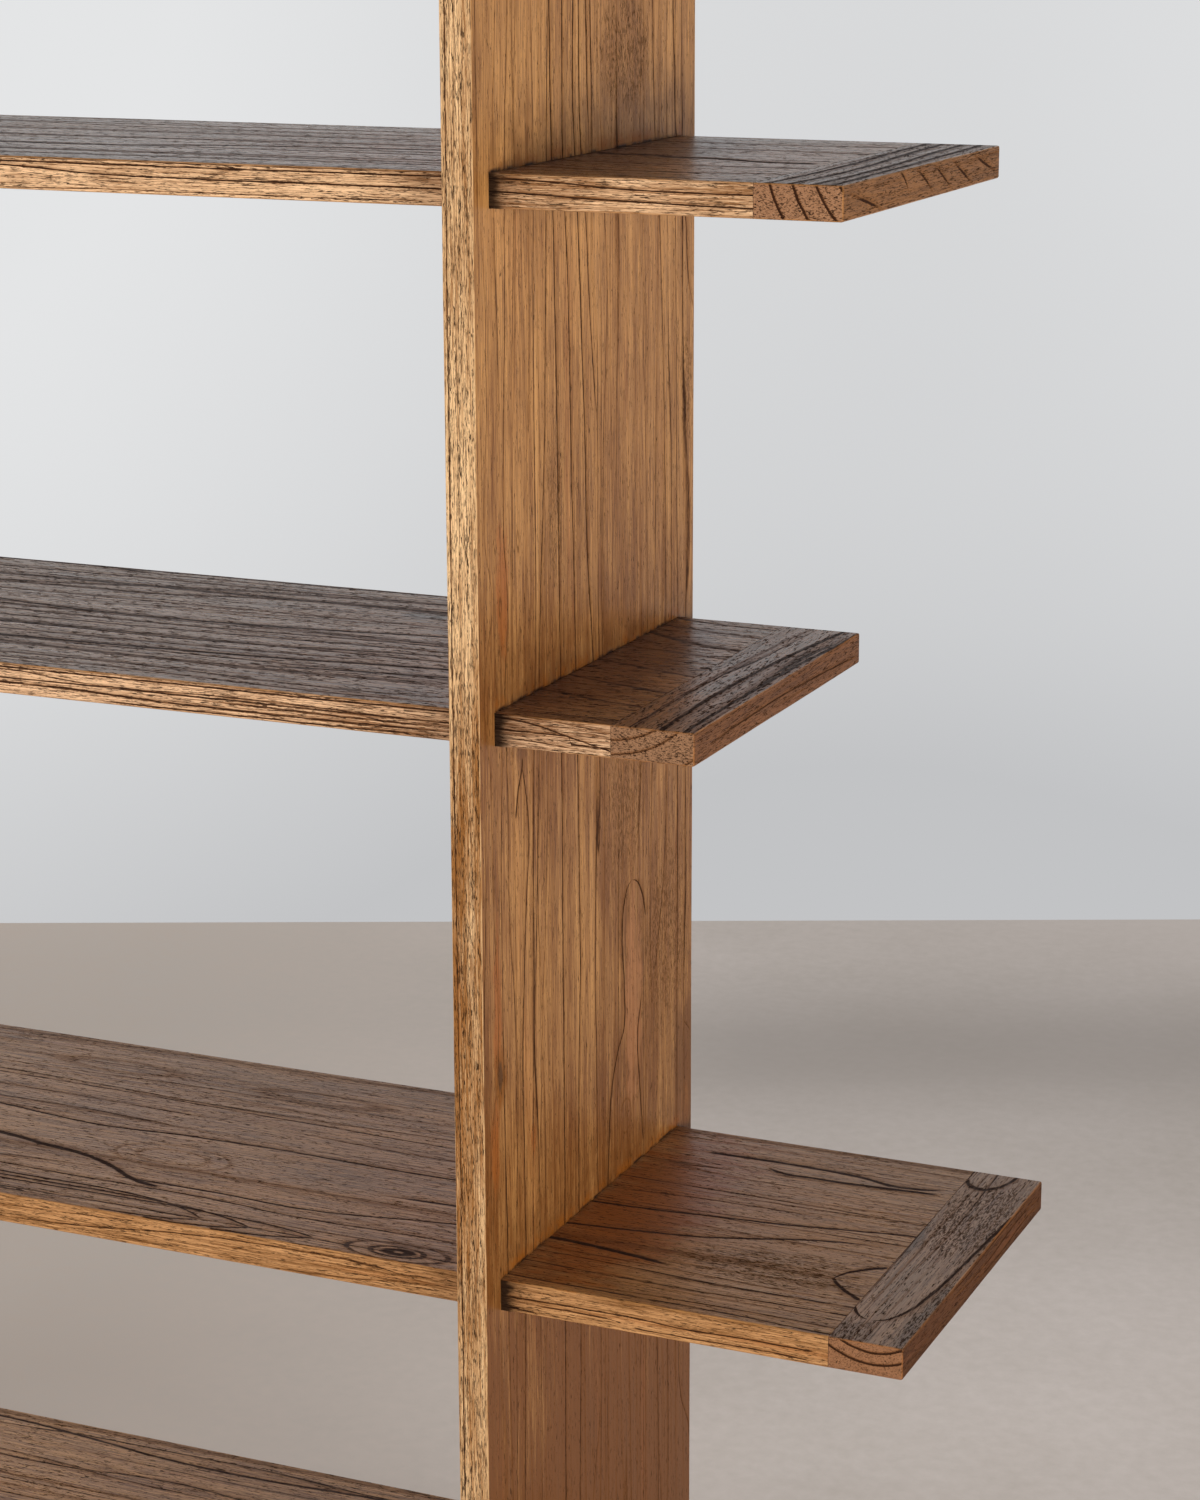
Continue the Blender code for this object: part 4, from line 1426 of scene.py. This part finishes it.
@dataclass
class SlottedUpright:
    """One upright: a board of three staves with six closed slots and the lock bores behind them.

    The cutter of a slot is deeper than the board is thick, and a bore runs a little past the slot's wall.
    """

    side: str
    easing: float = 0.0012
    cutter_depth: float = 0.044
    overrun: float = 0.004
    bore_radius: float = 0.0026
    countersink_radius: float = 0.0046
    countersink_depth: float = 0.0028
    plug_hole_radius: float = 0.0053
    plug_hole_depth: float = 0.017
    pin_hole_radius: float = 0.0018
    pin_hole_length: float = 0.04

    def finish(self) -> TimberFinish:
        """The wood of this upright, of which the picture shows the right one.

        Returns:
            The finish.
        """
        seen = self.side == "right"
        return TimberFinish(
            name=f"mindi wood, planed and oiled, {self.side} upright",
            direction=GrainDirection.UP,
            tone=TimberTone("#d09657", "#7c4a20", haze="#6f421c", line="#3f200b", edge_light="#f6cc98",
                            edge_deep="#8f5c2b", worn="#e8bb86"),
            upper=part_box(f"upright_{self.side}")[1].x * MM,
            seed=11 if seen else 12,
            broad=UPRIGHT_LINES if seen else drifting_lines(31, (0, 2131), (-200, 200), 30, 22),
            edge=UPRIGHT_EDGE,
            contrast=2.7,
            pores=-1.0,
            edge_pores=4.2,
            edge_growth=0.25,
            edge_along=((0, 0.14), (430, 0.18), (633, 0.32), (740, 0.4), (820, 0.5), (880, 0.35), (980, 0.0),
                        (1080, 0.0), (1210, 0.12), (1300, 0.0), (2131, -0.05)),
            hairs=0.32,
            spread=1.2,
            grain=1.5,
            end=EndRings((60, 40), (60, 75, 95, 120, 150, 190, 230, 270)),
            tone_across=((-200, 0.05), (-170, -0.1), (-120, -0.2), (-75, -0.05), (-8, -0.15), (6, -0.12), (16, 0.0),
                         (60, 0.0), (96, 0.0), (98, -0.02), (150, -0.12), (200, -0.08)),
            # Painted shade: the upright's sides get deeper towards the floor, most of all below shelf 2
            shade_along=((0, 1.25), (250, 1.25), (330, 0.9), (410, 0.85), (480, 0.55), (560, 0.5), (640, 0.4),
                        (760, 0.4), (860, 0.42), (960, 0.45), (1040, 0.25), (1360, 0.12), (2131, 0.08)),
            patches=UPRIGHT_PATCHES if seen else (),
            seats=tuple(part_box(f"shelf_{n}_board")[1].z * MM for n in SHELVES),
        )

    def bore(self, shelf_middle: float) -> Thing:
        """The shape of a lock bore with its plug hole, seen from the middle of a shelf.

        Args:
            shelf_middle: where the shelf's middle lies in the upright's depth.

        Returns:
            An object that the tree cuts out.
        """
        screw_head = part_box("lock_screw_right_1")[1].y
        builder = bmesh.new()
        into_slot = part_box("shelf_1_board")[1].y - screw_head - self.overrun
        outline = (
            (self.bore_radius, into_slot),
            (self.bore_radius, -self.countersink_depth),
            (self.countersink_radius, 0.0),
            (self.plug_hole_radius, 0.0001),
            (self.plug_hole_radius, self.plug_hole_depth),
        )
        add_turned(builder, outline, Vector((0, screw_head - shelf_middle, 0)))
        return object_of("lock_bore", builder)

    def build(self, tree: SlotTree) -> Thing:
        """Builds, dresses and hands over the upright.

        Args:
            tree: cuts the slots and the bores.

        Returns:
            The finished object.
        """
        node = f"upright_{self.side}"
        low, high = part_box(node)
        bar = EasedBar(low, high, 2, self.easing, seed=40 + SIDES[self.side], step=0.02)
        made = bar.build(f"{node}_timber")
        boards = [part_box(f"shelf_{n}_board") for n in SHELVES]
        places = [((low.x + high.x) / 2, (b[0].y + b[1].y) / 2, (b[0].z + b[1].z) / 2) for b in boards]
        first_low, first_high = boards[0]
        size = (self.cutter_depth, first_high.y - first_low.y + 2 * SEAT_GAP, first_high.z - first_low.z + 2 * SEAT_GAP)
        tree.run(made, {"Slot middles": points_object("slot_middles", places), "Slot size": size,
                        "Lock bore": self.bore(places[0][1]), "Wood": self.finish().make()})
        pins = bmesh.new()
        for end in ("front", "rear"):
            top = side_middle(f"glide_{self.side}_{end}", 2, True)
            top.z += SEAT_GAP - self.pin_hole_length / 2
            bmesh.ops.create_cone(
                pins, cap_ends=True, segments=20, radius1=self.pin_hole_radius, radius2=self.pin_hole_radius,
                depth=self.pin_hole_length, matrix=Matrix.Translation(top),
            )
        cut_out(made, pins)
        hand_over(made, [node])
        return made


@dataclass(frozen=True)
class ShelfWood:
    """What one shelf's wood looks like: its board and its two breadboard ends."""

    lines: tuple[GrainLine | GrainRing, ...]
    edge: tuple[GrainLine | GrainRing, ...]
    tone: TimberTone
    end_lines: tuple[GrainLine | GrainRing, ...] = ()
    end_side: tuple[GrainLine | GrainRing, ...] = ()
    end_tone: TimberTone = TimberTone()
    rings: EndRings | None = None
    patches: tuple[Patch, ...] = ()
    end_patches: tuple[Patch, ...] = ()
    edge_along: tuple[Point, ...] = ()
    pores: float = 1.0
    roughness: float = 0.36
    gloss: float = 0.5
    spread: float = 2.3
    grain: float = 2.0
    joint_shift: float = 0.0


SHELF_WOODS = {
    1: ShelfWood(SHELF_1_LINES, SHELF_1_EDGE, TimberTone("#d0985c", "#855428")),
    2: ShelfWood(
        SHELF_2_LINES,
        SHELF_2_EDGE,
        TimberTone("#d0985c", "#7d4e24", edge_light="#c4905e", edge_deep="#704721"),
        END_2_LINES,
        END_2_SIDE,
        TimberTone("#bd9370", "#866043", "#8f5434", end_grain="#8a5c3c", edge_light="#623614", edge_deep="#3b1f08",
                   worn="#a0683c"),
        EndRings((838, 42), (50, 59), 0.75),
        SHELF_2_PATCHES,
        END_2_PATCHES,
        edge_along=((-600, 0.05), (168, 0.05), (293, 0.08), (466, 0.17), (560, 0.05), (597, 0.0), (668, -0.1),
                    (800, -0.05)),
        spread=1.9,
        grain=1.8,
        joint_shift=0.0072,
    ),
    3: ShelfWood(
        SHELF_3_LINES,
        SHELF_3_EDGE,
        TimberTone("#c89a6c", "#6a4427", "#8a5530", edge_light="#e6ba90", edge_deep="#7a5030"),
        END_3_LINES,
        END_3_SIDE,
        TimberTone("#be8c62", "#6b4930", "#8a4c2c", end_grain="#8c6649", edge_light="#865530", edge_deep="#53301a",
                   worn="#a9703f"),
        EndRings((636, 60), (71.7, 82, 103), 0.5),
        SHELF_3_PATCHES,
        edge_along=((-600, -0.1), (310, -0.12), (475, 0.15), (600, 0.15), (668, 0.0)),
        pores=2.0,
        roughness=0.28,
        gloss=0.47,
        spread=3.2,
        grain=3.2,
    ),
    4: ShelfWood(
        SHELF_4_LINES,
        SHELF_4_EDGE,
        TimberTone("#cca276", "#6c4b30", "#8a5f3a", edge_light="#ebbf92", edge_deep="#885d38"),
        END_4_LINES,
        END_4_SIDE,
        TimberTone("#c29468", "#6f4d34", "#8a542e", end_grain="#94694a", edge_light="#94643a", edge_deep="#5c3a1d",
                   worn="#b27c48"),
        EndRings((862, 33), (70.5, 85.5, 101, 116), 0.8),
        SHELF_4_PATCHES,
        edge_along=((-600, -0.2), (208, -0.08), (325, -0.2), (420, -0.18), (482, 0.06), (520, 0.2), (560, 0.42),
                    (610, 0.42), (660, 0.02), (690, 0.12), (740, 0.2)),
        pores=1.8,
        roughness=0.28,
        gloss=0.47,
        spread=4.2,
        grain=4.6,
    ),
    5: ShelfWood((), (), TimberTone("#cf9a62", "#7c4e2a")),
    6: ShelfWood((), (), TimberTone("#cc9964", "#7a4e2c")),
}


@dataclass
class Shelf:
    """One shelf: the board that runs through both uprights, its two breadboard ends and their splines."""

    number: int
    easing: float = 0.0016
    easing_stop: float = 0.008
    pilot_radius: float = 0.0026
    overrun: float = 0.01
    end_spread: float = 3.0
    end_grain: float = 3.0

    @property
    def wood(self) -> ShelfWood:
        """The look of this shelf's wood."""
        return SHELF_WOODS[self.number]

    def cut_pockets(self, made: Thing, sides: Iterable[str]) -> None:
        """Cuts the pockets round the splines.

        Args:
            made: the board or the end.
            sides: whose splines reach into it.
        """
        pockets = bmesh.new()
        for side in sides:
            low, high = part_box(f"shelf_{self.number}_spline_{side}")
            add_routed_bar(pockets, (low + high) / 2, (high - low) / 2 + Vector((SEAT_GAP,) * 3))
        cut_out(made, pockets)

    def finish(self, name: str, **looks: Any) -> TimberFinish:
        """The wood of one piece, with what all of this shelf's pieces share.

        Args:
            name: which piece.
            looks: its own settings.

        Returns:
            The finish.
        """
        wood = self.wood
        shared = {"pores": wood.pores, "roughness": wood.roughness, "gloss": wood.gloss}
        return TimberFinish(f"mindi wood, planed and oiled, {name}", **shared, **looks)

    def build_board(self) -> Thing:
        """Builds and dresses the long board.

        Returns:
            The finished object.
        """
        node, wood = f"shelf_{self.number}_board", self.wood
        low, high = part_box(node)
        high.x += wood.joint_shift
        uprights = [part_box(f"upright_{side}") for side in SIDES]
        spans = tuple((start.x - self.easing_stop, end.x + self.easing_stop) for start, end in uprights)
        bar = EasedBar(low, high, 0, self.easing, spans, eased_ends=False, seed=self.number)
        made = bar.build(f"shelf_{self.number}_through_board")
        self.cut_pockets(made, SIDES)
        pilots = bmesh.new()
        for side in SIDES:
            foot = side_middle(f"lock_screw_{side}_{self.number}", 1)
            outline = ((self.pilot_radius, 0.0), (self.pilot_radius, high.y + self.overrun - foot.y))
            foot.y -= SEAT_GAP
            add_turned(pilots, outline, foot, 20)
        cut_out(made, pilots)
        across, span = (low.y * MM, high.y * MM), (low.x * MM, high.x * MM)
        finish = self.finish(
            f"shelf {self.number}",
            direction=GrainDirection.ALONG_SHELF,
            tone=wood.tone,
            upper=high.z * MM,
            seed=100 + self.number,
            broad=wood.lines or drifting_lines(50 + self.number, span, across, 27, 20),
            edge=wood.edge or drifting_lines(70 + self.number, span, (-24, 0), 8, 5, 0.55),
            patches=wood.patches,
            edge_along=wood.edge_along,
            dark_by_uprights=True,
            spread=wood.spread,
            grain=wood.grain,
        )
        dress(made, finish)
        hand_over(made, [node])
        return made

    def build_end(self, side: str) -> Thing:
        """Builds and dresses one breadboard end.

        Args:
            side: left or right.

        Returns:
            The finished object.
        """
        node, wood = f"shelf_{self.number}_end_{side}", self.wood
        low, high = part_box(node)
        if side == "right":
            low.x += wood.joint_shift
        seed = 200 + self.number * 2 + (side == "right")
        bar = EasedBar(low, high, 1, self.easing, crisp_side=-SIDES[side], seed=seed, step=0.01)
        made = bar.build(f"shelf_{self.number}_breadboard_{side}")
        self.cut_pockets(made, [side])
        x_span, y_span = (low.x * MM, high.x * MM), (low.y * MM, high.y * MM)
        if side == "right" and wood.end_lines:
            figure = {"broad": wood.end_lines, "edge": wood.end_side, "patches": wood.end_patches, "end": wood.rings}
        else:
            dice = random.Random(seed)
            heart = ((low.x + high.x) * MM / 2 + dice.uniform(-60, 60), dice.uniform(30, 60))
            radii = tuple(heart[1] + 4 + 11 * i + dice.uniform(-2, 2) for i in range(7))
            figure = {
                "broad": drifting_lines(seed, y_span, x_span, 13, 10, 0.65),
                "edge": drifting_lines(seed + 40, y_span, (-24, 0), 8, 8, 0.6),
                "end": EndRings(heart, radii),
            }
        finish = self.finish(
            f"breadboard end {self.number} {side}",
            direction=GrainDirection.ACROSS_SHELF,
            tone=wood.end_tone,
            upper=high.z * MM,
            seed=seed,
            spread=min(wood.spread, self.end_spread),
            grain=min(wood.grain, self.end_grain),
            **figure,
        )
        dress(made, finish)
        hand_over(made, [node])
        return made

    def build(self, bare: bpy.types.Material) -> None:
        """Builds the whole shelf, and gives its splines, which keep their CAD shape, their bare wood.

        Args:
            bare: the wood of the splines.
        """
        self.build_board()
        for side in SIDES:
            self.build_end(side)
            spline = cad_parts[f"shelf_{self.number}_spline_{side}"]
            if not spline.material_slots:
                spline.data.materials.append(bare)
            for slot in spline.material_slots:
                slot.material = bare
        LOG.info("shelf %d: one board, two breadboard ends, two splines", self.number)


@dataclass
class LockHardware:
    """The screws that lock the shelves from behind, and the plugs over their heads."""

    tree: TurnedTree
    length: float = 0.065
    head_radius: float = 0.0043
    head_height: float = 0.0028
    shank_radius: float = 0.0019
    thread_radius: float = 0.0023
    root_share: float = 0.72
    shank_length: float = 0.026
    point_length: float = 0.006
    point_radius: float = 0.0002
    thread_runout: float = 0.0004
    pitch: float = 0.0024
    head_bevel: float = 0.0002
    head_rounding: float = 0.00015
    recess_width: float = 0.0046
    recess_depth: float = 0.0036
    recess_slot: float = 0.0009
    plug_radius: float = 0.005
    plug_length: float = 0.007
    chamfer: float = 0.0006
    broken_edge: float = 0.00025

    def recess(self) -> Builder:
        """The cross-shaped hole for the driver in a screw's head."""
        builder = bmesh.new()
        for x, z in ((self.recess_width, self.recess_slot), (self.recess_slot, self.recess_width)):
            bmesh.ops.create_cube(builder, size=1.0, matrix=Matrix.Diagonal((x, self.recess_depth, z, 1)))
        return builder

    def build_screws(self) -> None:
        """Builds the twelve screws as one piece."""
        root = self.thread_radius * self.root_share
        outline = (
            (self.point_radius, -self.length),
            (root, -self.length + self.point_length),
            (root, -self.shank_length - self.thread_runout),
            (self.shank_radius, -self.shank_length),
            (self.shank_radius, -self.head_height),
            (self.head_radius, -self.head_bevel),
            (self.head_radius - self.head_rounding, 0.0),
        )
        threaded = self.length - self.shank_length - self.point_length * 0.6
        thread = Thread(threaded / self.pitch, threaded, root, self.thread_radius - root, -self.shank_length)
        nodes = [f"lock_screw_{name}" for name in HARDWARE_NAMES]
        places = [side_middle(node, 1, True) for node in nodes]
        steel = ZincPlatedSteel()
        made = self.tree.build("wood_screws", outline, TO_REAR, places, steel, 24, thread, self.recess())
        hand_over(made, nodes)

    def build_plugs(self) -> None:
        """Builds the twelve plugs as one piece."""
        outline = (
            (self.plug_radius - self.chamfer, 0.0),
            (self.plug_radius, self.chamfer),
            (self.plug_radius, self.plug_length - self.broken_edge),
            (self.plug_radius - self.broken_edge, self.plug_length),
        )
        finish = TimberFinish(
            "mindi wood, plug cut across the grain", GrainDirection.UP, TimberTone("#b98a5a", "#946238", "#9a5c2e"),
            upper=549.0, seed=400, roughness=0.4,
        )
        nodes = [f"screw_plug_{name}" for name in HARDWARE_NAMES]
        places = [side_middle(node, 1) for node in nodes]
        hand_over(self.tree.build("screw_cover_plugs", outline, TO_REAR, places, finish), nodes)


@dataclass
class GlideSet:
    """The four glides nailed under the uprights."""

    tree: TurnedTree
    radius: float = 0.010
    height: float = 0.005
    flat_radius: float = 0.008
    rim: float = 0.0003
    pin_radius: float = 0.0015
    pin_length: float = 0.016
    tip_radius: float = 0.0001
    dish: float = 0.00001
    shoulder_steps: int = 6

    def build(self) -> None:
        """Builds the glides as one piece."""
        turns = [math.pi / 2 * step / self.shoulder_steps for step in range(self.shoulder_steps + 1)]
        reach = self.radius - self.flat_radius
        outline = (
            *((self.flat_radius + reach * math.sin(a), self.height / 2 * (1 - math.cos(a))) for a in turns),
            (self.radius, self.height - self.rim),
            (self.radius - self.rim, self.height - self.dish),
            (self.pin_radius, self.height),
            (self.pin_radius, self.height + self.pin_length - self.pin_radius),
            (self.tip_radius, self.height + self.pin_length),
        )
        nodes = [f"glide_{side}_{end}" for side in SIDES for end in ("front", "rear")]
        places = [side_middle(node, 2) for node in nodes]
        made = self.tree.build("floor_glides", outline, Vector((0, 0, 1)), places, MouldedPolyethylene())
        hand_over(made, nodes)


# The studio


@dataclass(frozen=True)
class PaintedWall(Finish):
    """Smooth pale wall paint, rolled: an even glow, with painted shade a little darker towards the floor and to the
    right.

    Beside the picture it is dim in reflections, as the studio beyond the backdrop is. From behind it is
    clear, so that a rear view isn't blocked.
    """

    name: str = "wall paint, rolled"
    pale: str = "#e4e5e6"
    shaded: str = "#c2c3c5"
    shade_by_height: tuple[Point, ...] = ((0.0, 1.0), (0.25, 0.72), (0.5, 0.42), (0.9, 0.2), (1.3, 0.1), (3.0, 0.05))
    shade_sideways: tuple[Point, ...] = ((-3.0, -0.3), (-1.2, -0.28), (-0.8, -0.12), (-0.4, 0.12), (0.0, 0.2), (0.5, 0.08),
                                   (0.9, 0.05))

    def surface(self, add: Adder) -> Node:
        """Draws the finish.

        Args:
            add: adds a node to the material's tree.

        Returns:
            The shader.
        """
        place = add("TexCoord").outputs["Object"]
        split = add("SeparateXYZ", place).outputs
        aside = add("MapRange", split[0], 1.0, 2.0, 1.0, 0.12)
        strength = add("Math MAXIMUM", add("LightPath").outputs["Is Camera Ray"], aside)
        # Painted shade: the glow darkens towards the floor and to the right
        height = add("FloatCurve", None, split[2], line=self.shade_by_height)
        shade = add("Math ADD", height, add("FloatCurve", None, split[0], line=self.shade_sideways))
        shade = add("Math MULTIPLY_ADD", add("TexNoise", place, 1.3, 2.0), 0.12, shade)
        glow = add("Emission", add("Mix RGBA", shade, linear(self.pale), linear(self.shaded)), strength)
        return add("MixShader", add("NewGeometry").outputs["Backfacing"], glow, add("BsdfTransparent"))


@dataclass(frozen=True)
class PolishedConcrete(Finish):
    """Pale concrete, floated and sealed: faint clouds, a fine fleck, and a painted shadow band behind the bookcase and
    to its right.

    Part of its brightness is for the camera alone. Further off it is plain and has a brightness of its
    own, so that no lamp burns a hot spot into it. From below it lets the camera through.
    """

    name: str = "concrete floor, floated"
    pale: str = "#b9b0aa"
    warm: str = "#a99c91"
    dark: str = "#a79e96"
    # Colour of the painted shadow band on the floor behind and right of the bookcase
    worn: str = "#918983"
    lift: float = 0.33
    near_lift: float = 0.22
    far_level: float = 0.95
    mirrored: float = 0.3
    to_wall: tuple[float, float, float] = (-0.399, 0.917, 0.0)
    along_wall: tuple[float, float, float] = (0.917, 0.399, 0.0)
    # Where the painted shadow lies: its strength towards the wall, then along the wall
    shadow_band: tuple[Point, ...] = ((0.2, 0.0), (1.05, 0.02), (1.3, 0.38), (1.47, 0.7), (1.62, 0.45), (1.85, 0.0),
                                    (2.1, -0.2))
    shadow_span: tuple[Point, ...] = ((0.3, 0.0), (0.7, 1.0), (1.7, 0.8), (2.6, 0.0))

    def surface(self, add: Adder) -> Node:
        """Draws the finish.

        Args:
            add: adds a node to the material's tree.

        Returns:
            The shader.
        """
        place = add("TexCoord").outputs["Object"]
        fleck = add("TexNoise", place, 60.0, 4.0, 0.6)
        mix = add("Math MULTIPLY_ADD", fleck, 0.5, add("TexNoise", place, 1.6, 5.0, 0.62))
        behind = add("VectorMath DOT_PRODUCT", place, self.to_wall)
        aside = add("VectorMath DOT_PRODUCT", place, self.along_wall)
        colour = add("Mix RGBA", add("MapRange", aside, 0.7, -0.1), linear(self.pale), linear(self.warm))
        colour = add("Mix RGBA", add("MapRange", mix, 0.5, 1.0), colour, linear(self.dark))
        # Painted shadow of the bookcase: a darker band on the floor behind it and to its right
        band = add("FloatCurve", None, behind, line=self.shadow_band)
        worn = add("Math MULTIPLY", band, add("FloatCurve", None, aside, line=self.shadow_span, smooth=False))
        colour = add("Mix RGBA", worn, colour, linear(self.worn))
        path = add("LightPath").outputs
        seen = add("Math MULTIPLY_ADD", path["Is Glossy Ray"], self.mirrored, path["Is Camera Ray"])
        near = add("MapRange", behind, 0.3, 1.6, self.lift + self.near_lift, self.lift)
        glow = add("Emission", colour, add("Math MULTIPLY", seen, near))
        both = add("AddShader", add("BsdfPrincipled", colour, Roughness=0.7), glow)
        away = add("MapRange SMOOTHSTEP", add("VectorMath LENGTH", place), 1.9, 2.9)
        top = add("MixShader", away, both, add("Emission", linear(self.pale), self.far_level))
        return add("MixShader", add("NewGeometry").outputs["Backfacing"], top, add("BsdfTransparent"))


@dataclass
class SoftBox:
    """A soft lamp that faces the upright's middle from one direction."""

    name: str
    azimuth: float
    height: float
    distance: float
    level: float
    size: Point
    elevation: float = 0.0
    target: Point = (0.549, 0.0)

    def build(self) -> None:
        """Hangs the lamp. A white face square to it renders as its level, and no gloss mirrors it."""
        turn, rise = math.radians(self.azimuth), math.radians(self.elevation)
        back = Vector((math.sin(turn) * math.cos(rise), -math.cos(turn) * math.cos(rise), math.sin(rise)))
        lamp = bpy.data.lights.new(self.name, "AREA")
        lamp.shape = "RECTANGLE"
        lamp.size, lamp.size_y = self.size
        lamp.energy = self.level * math.pi**2 * self.distance**2
        made = bpy.data.objects.new(self.name, lamp)
        made.location = Vector((*self.target, self.height)) + back * self.distance
        made.rotation_mode = "QUATERNION"
        made.rotation_quaternion = (-back).to_track_quat("-Z", "Y")
        made.visible_glossy = False
        made.visible_camera = False
        bpy.context.scene.collection.objects.link(made)


@dataclass
class Studio:
    """The camera, the floor, the wall behind and the soft light."""

    focal_pixels: float = 3432.094
    camera_place: tuple[float, float, float] = (1.555649, -2.303153, 1.4998)
    yaw: float = 23.505
    pitch: float = 14.598
    roll: float = 0.174
    sensor: float = 36.0
    ambient: float = 0.05
    mirrored: float = 0.15
    around_colour: str = "#f4f6fa"
    seen_colour: str = "#dcdcdc"
    floor_half: float = 150.0
    wall_distance: float = 4.77
    wall_half: float = 14.0
    wall_height: float = 9.0
    boxes: tuple[SoftBox, ...] = (
        SoftBox("key softbox", -42.0, 1.0, 5.0, 0.86, (3.0, 1.5)),
        SoftBox("side softbox", 58.0, 1.0, 5.0, 0.92, (2.6, 1.5)),
        SoftBox("rear softbox", 215.0, 0.9, 5.0, 0.5, (3.0, 2.0)),
        SoftBox("top softbox", 0.0, 2.1, 3.5, 0.3, (1.6, 0.4), elevation=90.0, target=(0.0, 0.0)),
    )

    def build_camera(self) -> None:
        """Sets the camera as the picture was taken."""
        yaw, pitch, roll = (math.radians(angle) for angle in (self.yaw, self.pitch, self.roll))
        forward = Vector((-math.sin(yaw) * math.cos(pitch), math.cos(yaw) * math.cos(pitch), -math.sin(pitch)))
        level = Vector((math.cos(yaw), math.sin(yaw), 0.0))
        down = forward.cross(level)
        right = math.cos(roll) * level + math.sin(roll) * down
        below = -math.sin(roll) * level + math.cos(roll) * down
        data = bpy.data.cameras.new("camera")
        data.sensor_width = self.sensor
        data.lens = self.focal_pixels * self.sensor / max(PHOTO_WIDTH, PHOTO_HEIGHT)
        camera = bpy.data.objects.new("camera", data)
        turn = Matrix((right, -below, -forward)).transposed().to_4x4()
        camera.matrix_world = Matrix.Translation(self.camera_place) @ turn
        bpy.context.scene.collection.objects.link(camera)
        bpy.context.scene.camera = camera

    def build_floor(self) -> None:
        """Lays a wide floor at height 0."""
        builder = bmesh.new()
        bmesh.ops.create_grid(builder, x_segments=8, y_segments=8, size=self.floor_half)
        floor = object_of("floor", builder)
        dress(floor, PolishedConcrete())

    def build_wall(self) -> None:
        """Stands the wall square to the camera's direction, facing it."""
        yaw = math.radians(self.yaw)
        ahead, aside = Vector((-math.sin(yaw), math.cos(yaw), 0.0)), Vector((math.cos(yaw), math.sin(yaw), 0.0))
        foot = Vector((self.camera_place[0], self.camera_place[1], 0.0)) + ahead * self.wall_distance
        left, right, up = foot - aside * self.wall_half, foot + aside * self.wall_half, Vector((0, 0, self.wall_height))
        builder = bmesh.new()
        builder.faces.new([builder.verts.new(corner) for corner in (left, right, right + up, left + up)])
        wall = object_of("wall", builder)
        dress(wall, PaintedWall())
        for ray in ("diffuse", "transmission", "shadow", "volume_scatter"):
            setattr(wall, f"visible_{ray}", False)

    def build_world(self) -> None:
        """Gives even light from all round, and a pale world to the camera and to reflections."""
        world = bpy.data.worlds.new("studio")
        world.use_nodes = True
        world.node_tree.nodes.clear()
        add = partial(add_node, world.node_tree)
        path = add("LightPath").outputs
        around = add("Background", linear(self.around_colour), self.ambient)
        glossy = add("Background", linear(self.seen_colour), self.mirrored)
        pale = add("Background", linear(self.seen_colour), 1.0)
        mixed = add("MixShader", path["Is Glossy Ray"], around, glossy)
        add("OutputWorld", add("MixShader", path["Is Camera Ray"], mixed, pale))
        bpy.context.scene.world = world

    def build(self) -> None:
        """Builds the whole studio."""
        self.build_camera()
        self.build_floor()
        self.build_wall()
        self.build_world()
        for box in self.boxes:
            box.build()
        bpy.context.scene.view_settings.view_transform = "Standard"
        LOG.info("studio: camera, floor, wall, %d soft boxes", len(self.boxes))


@dataclass
class Bookcase:
    """The whole bookcase, built part by part around the frame."""

    def bare_wood(self) -> TimberFinish:
        """Bare sawn hardwood, unoiled, for the hidden splines: pale, dry and fine in its grain."""
        tone = TimberTone("#d6b88c", "#c3a274", "#c09463", line="#8a6a48", pore="#7a5a3c")
        direction = GrainDirection.ACROSS_SHELF
        return TimberFinish("bare hardwood, sawn", direction, tone, upper=0.0, seed=500, pores=0.6, roughness=0.62)

    def build(self) -> None:
        """Builds every visible piece in order."""
        slots, turned = SlotTree(), TurnedTree()
        for side in SIDES:
            SlottedUpright(side).build(slots)
        bare = self.bare_wood().make()
        for number in SHELVES:
            Shelf(number).build(bare)
        hardware = LockHardware(turned)
        hardware.build_screws()
        hardware.build_plugs()
        GlideSet(turned).build()


def main() -> None:
    """Builds the studio and the bookcase."""
    logging.basicConfig(level=logging.INFO, format="%(name)s %(message)s")
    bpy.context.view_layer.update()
    Studio().build()
    Bookcase().build()


if __name__ == "__main__":
    main()
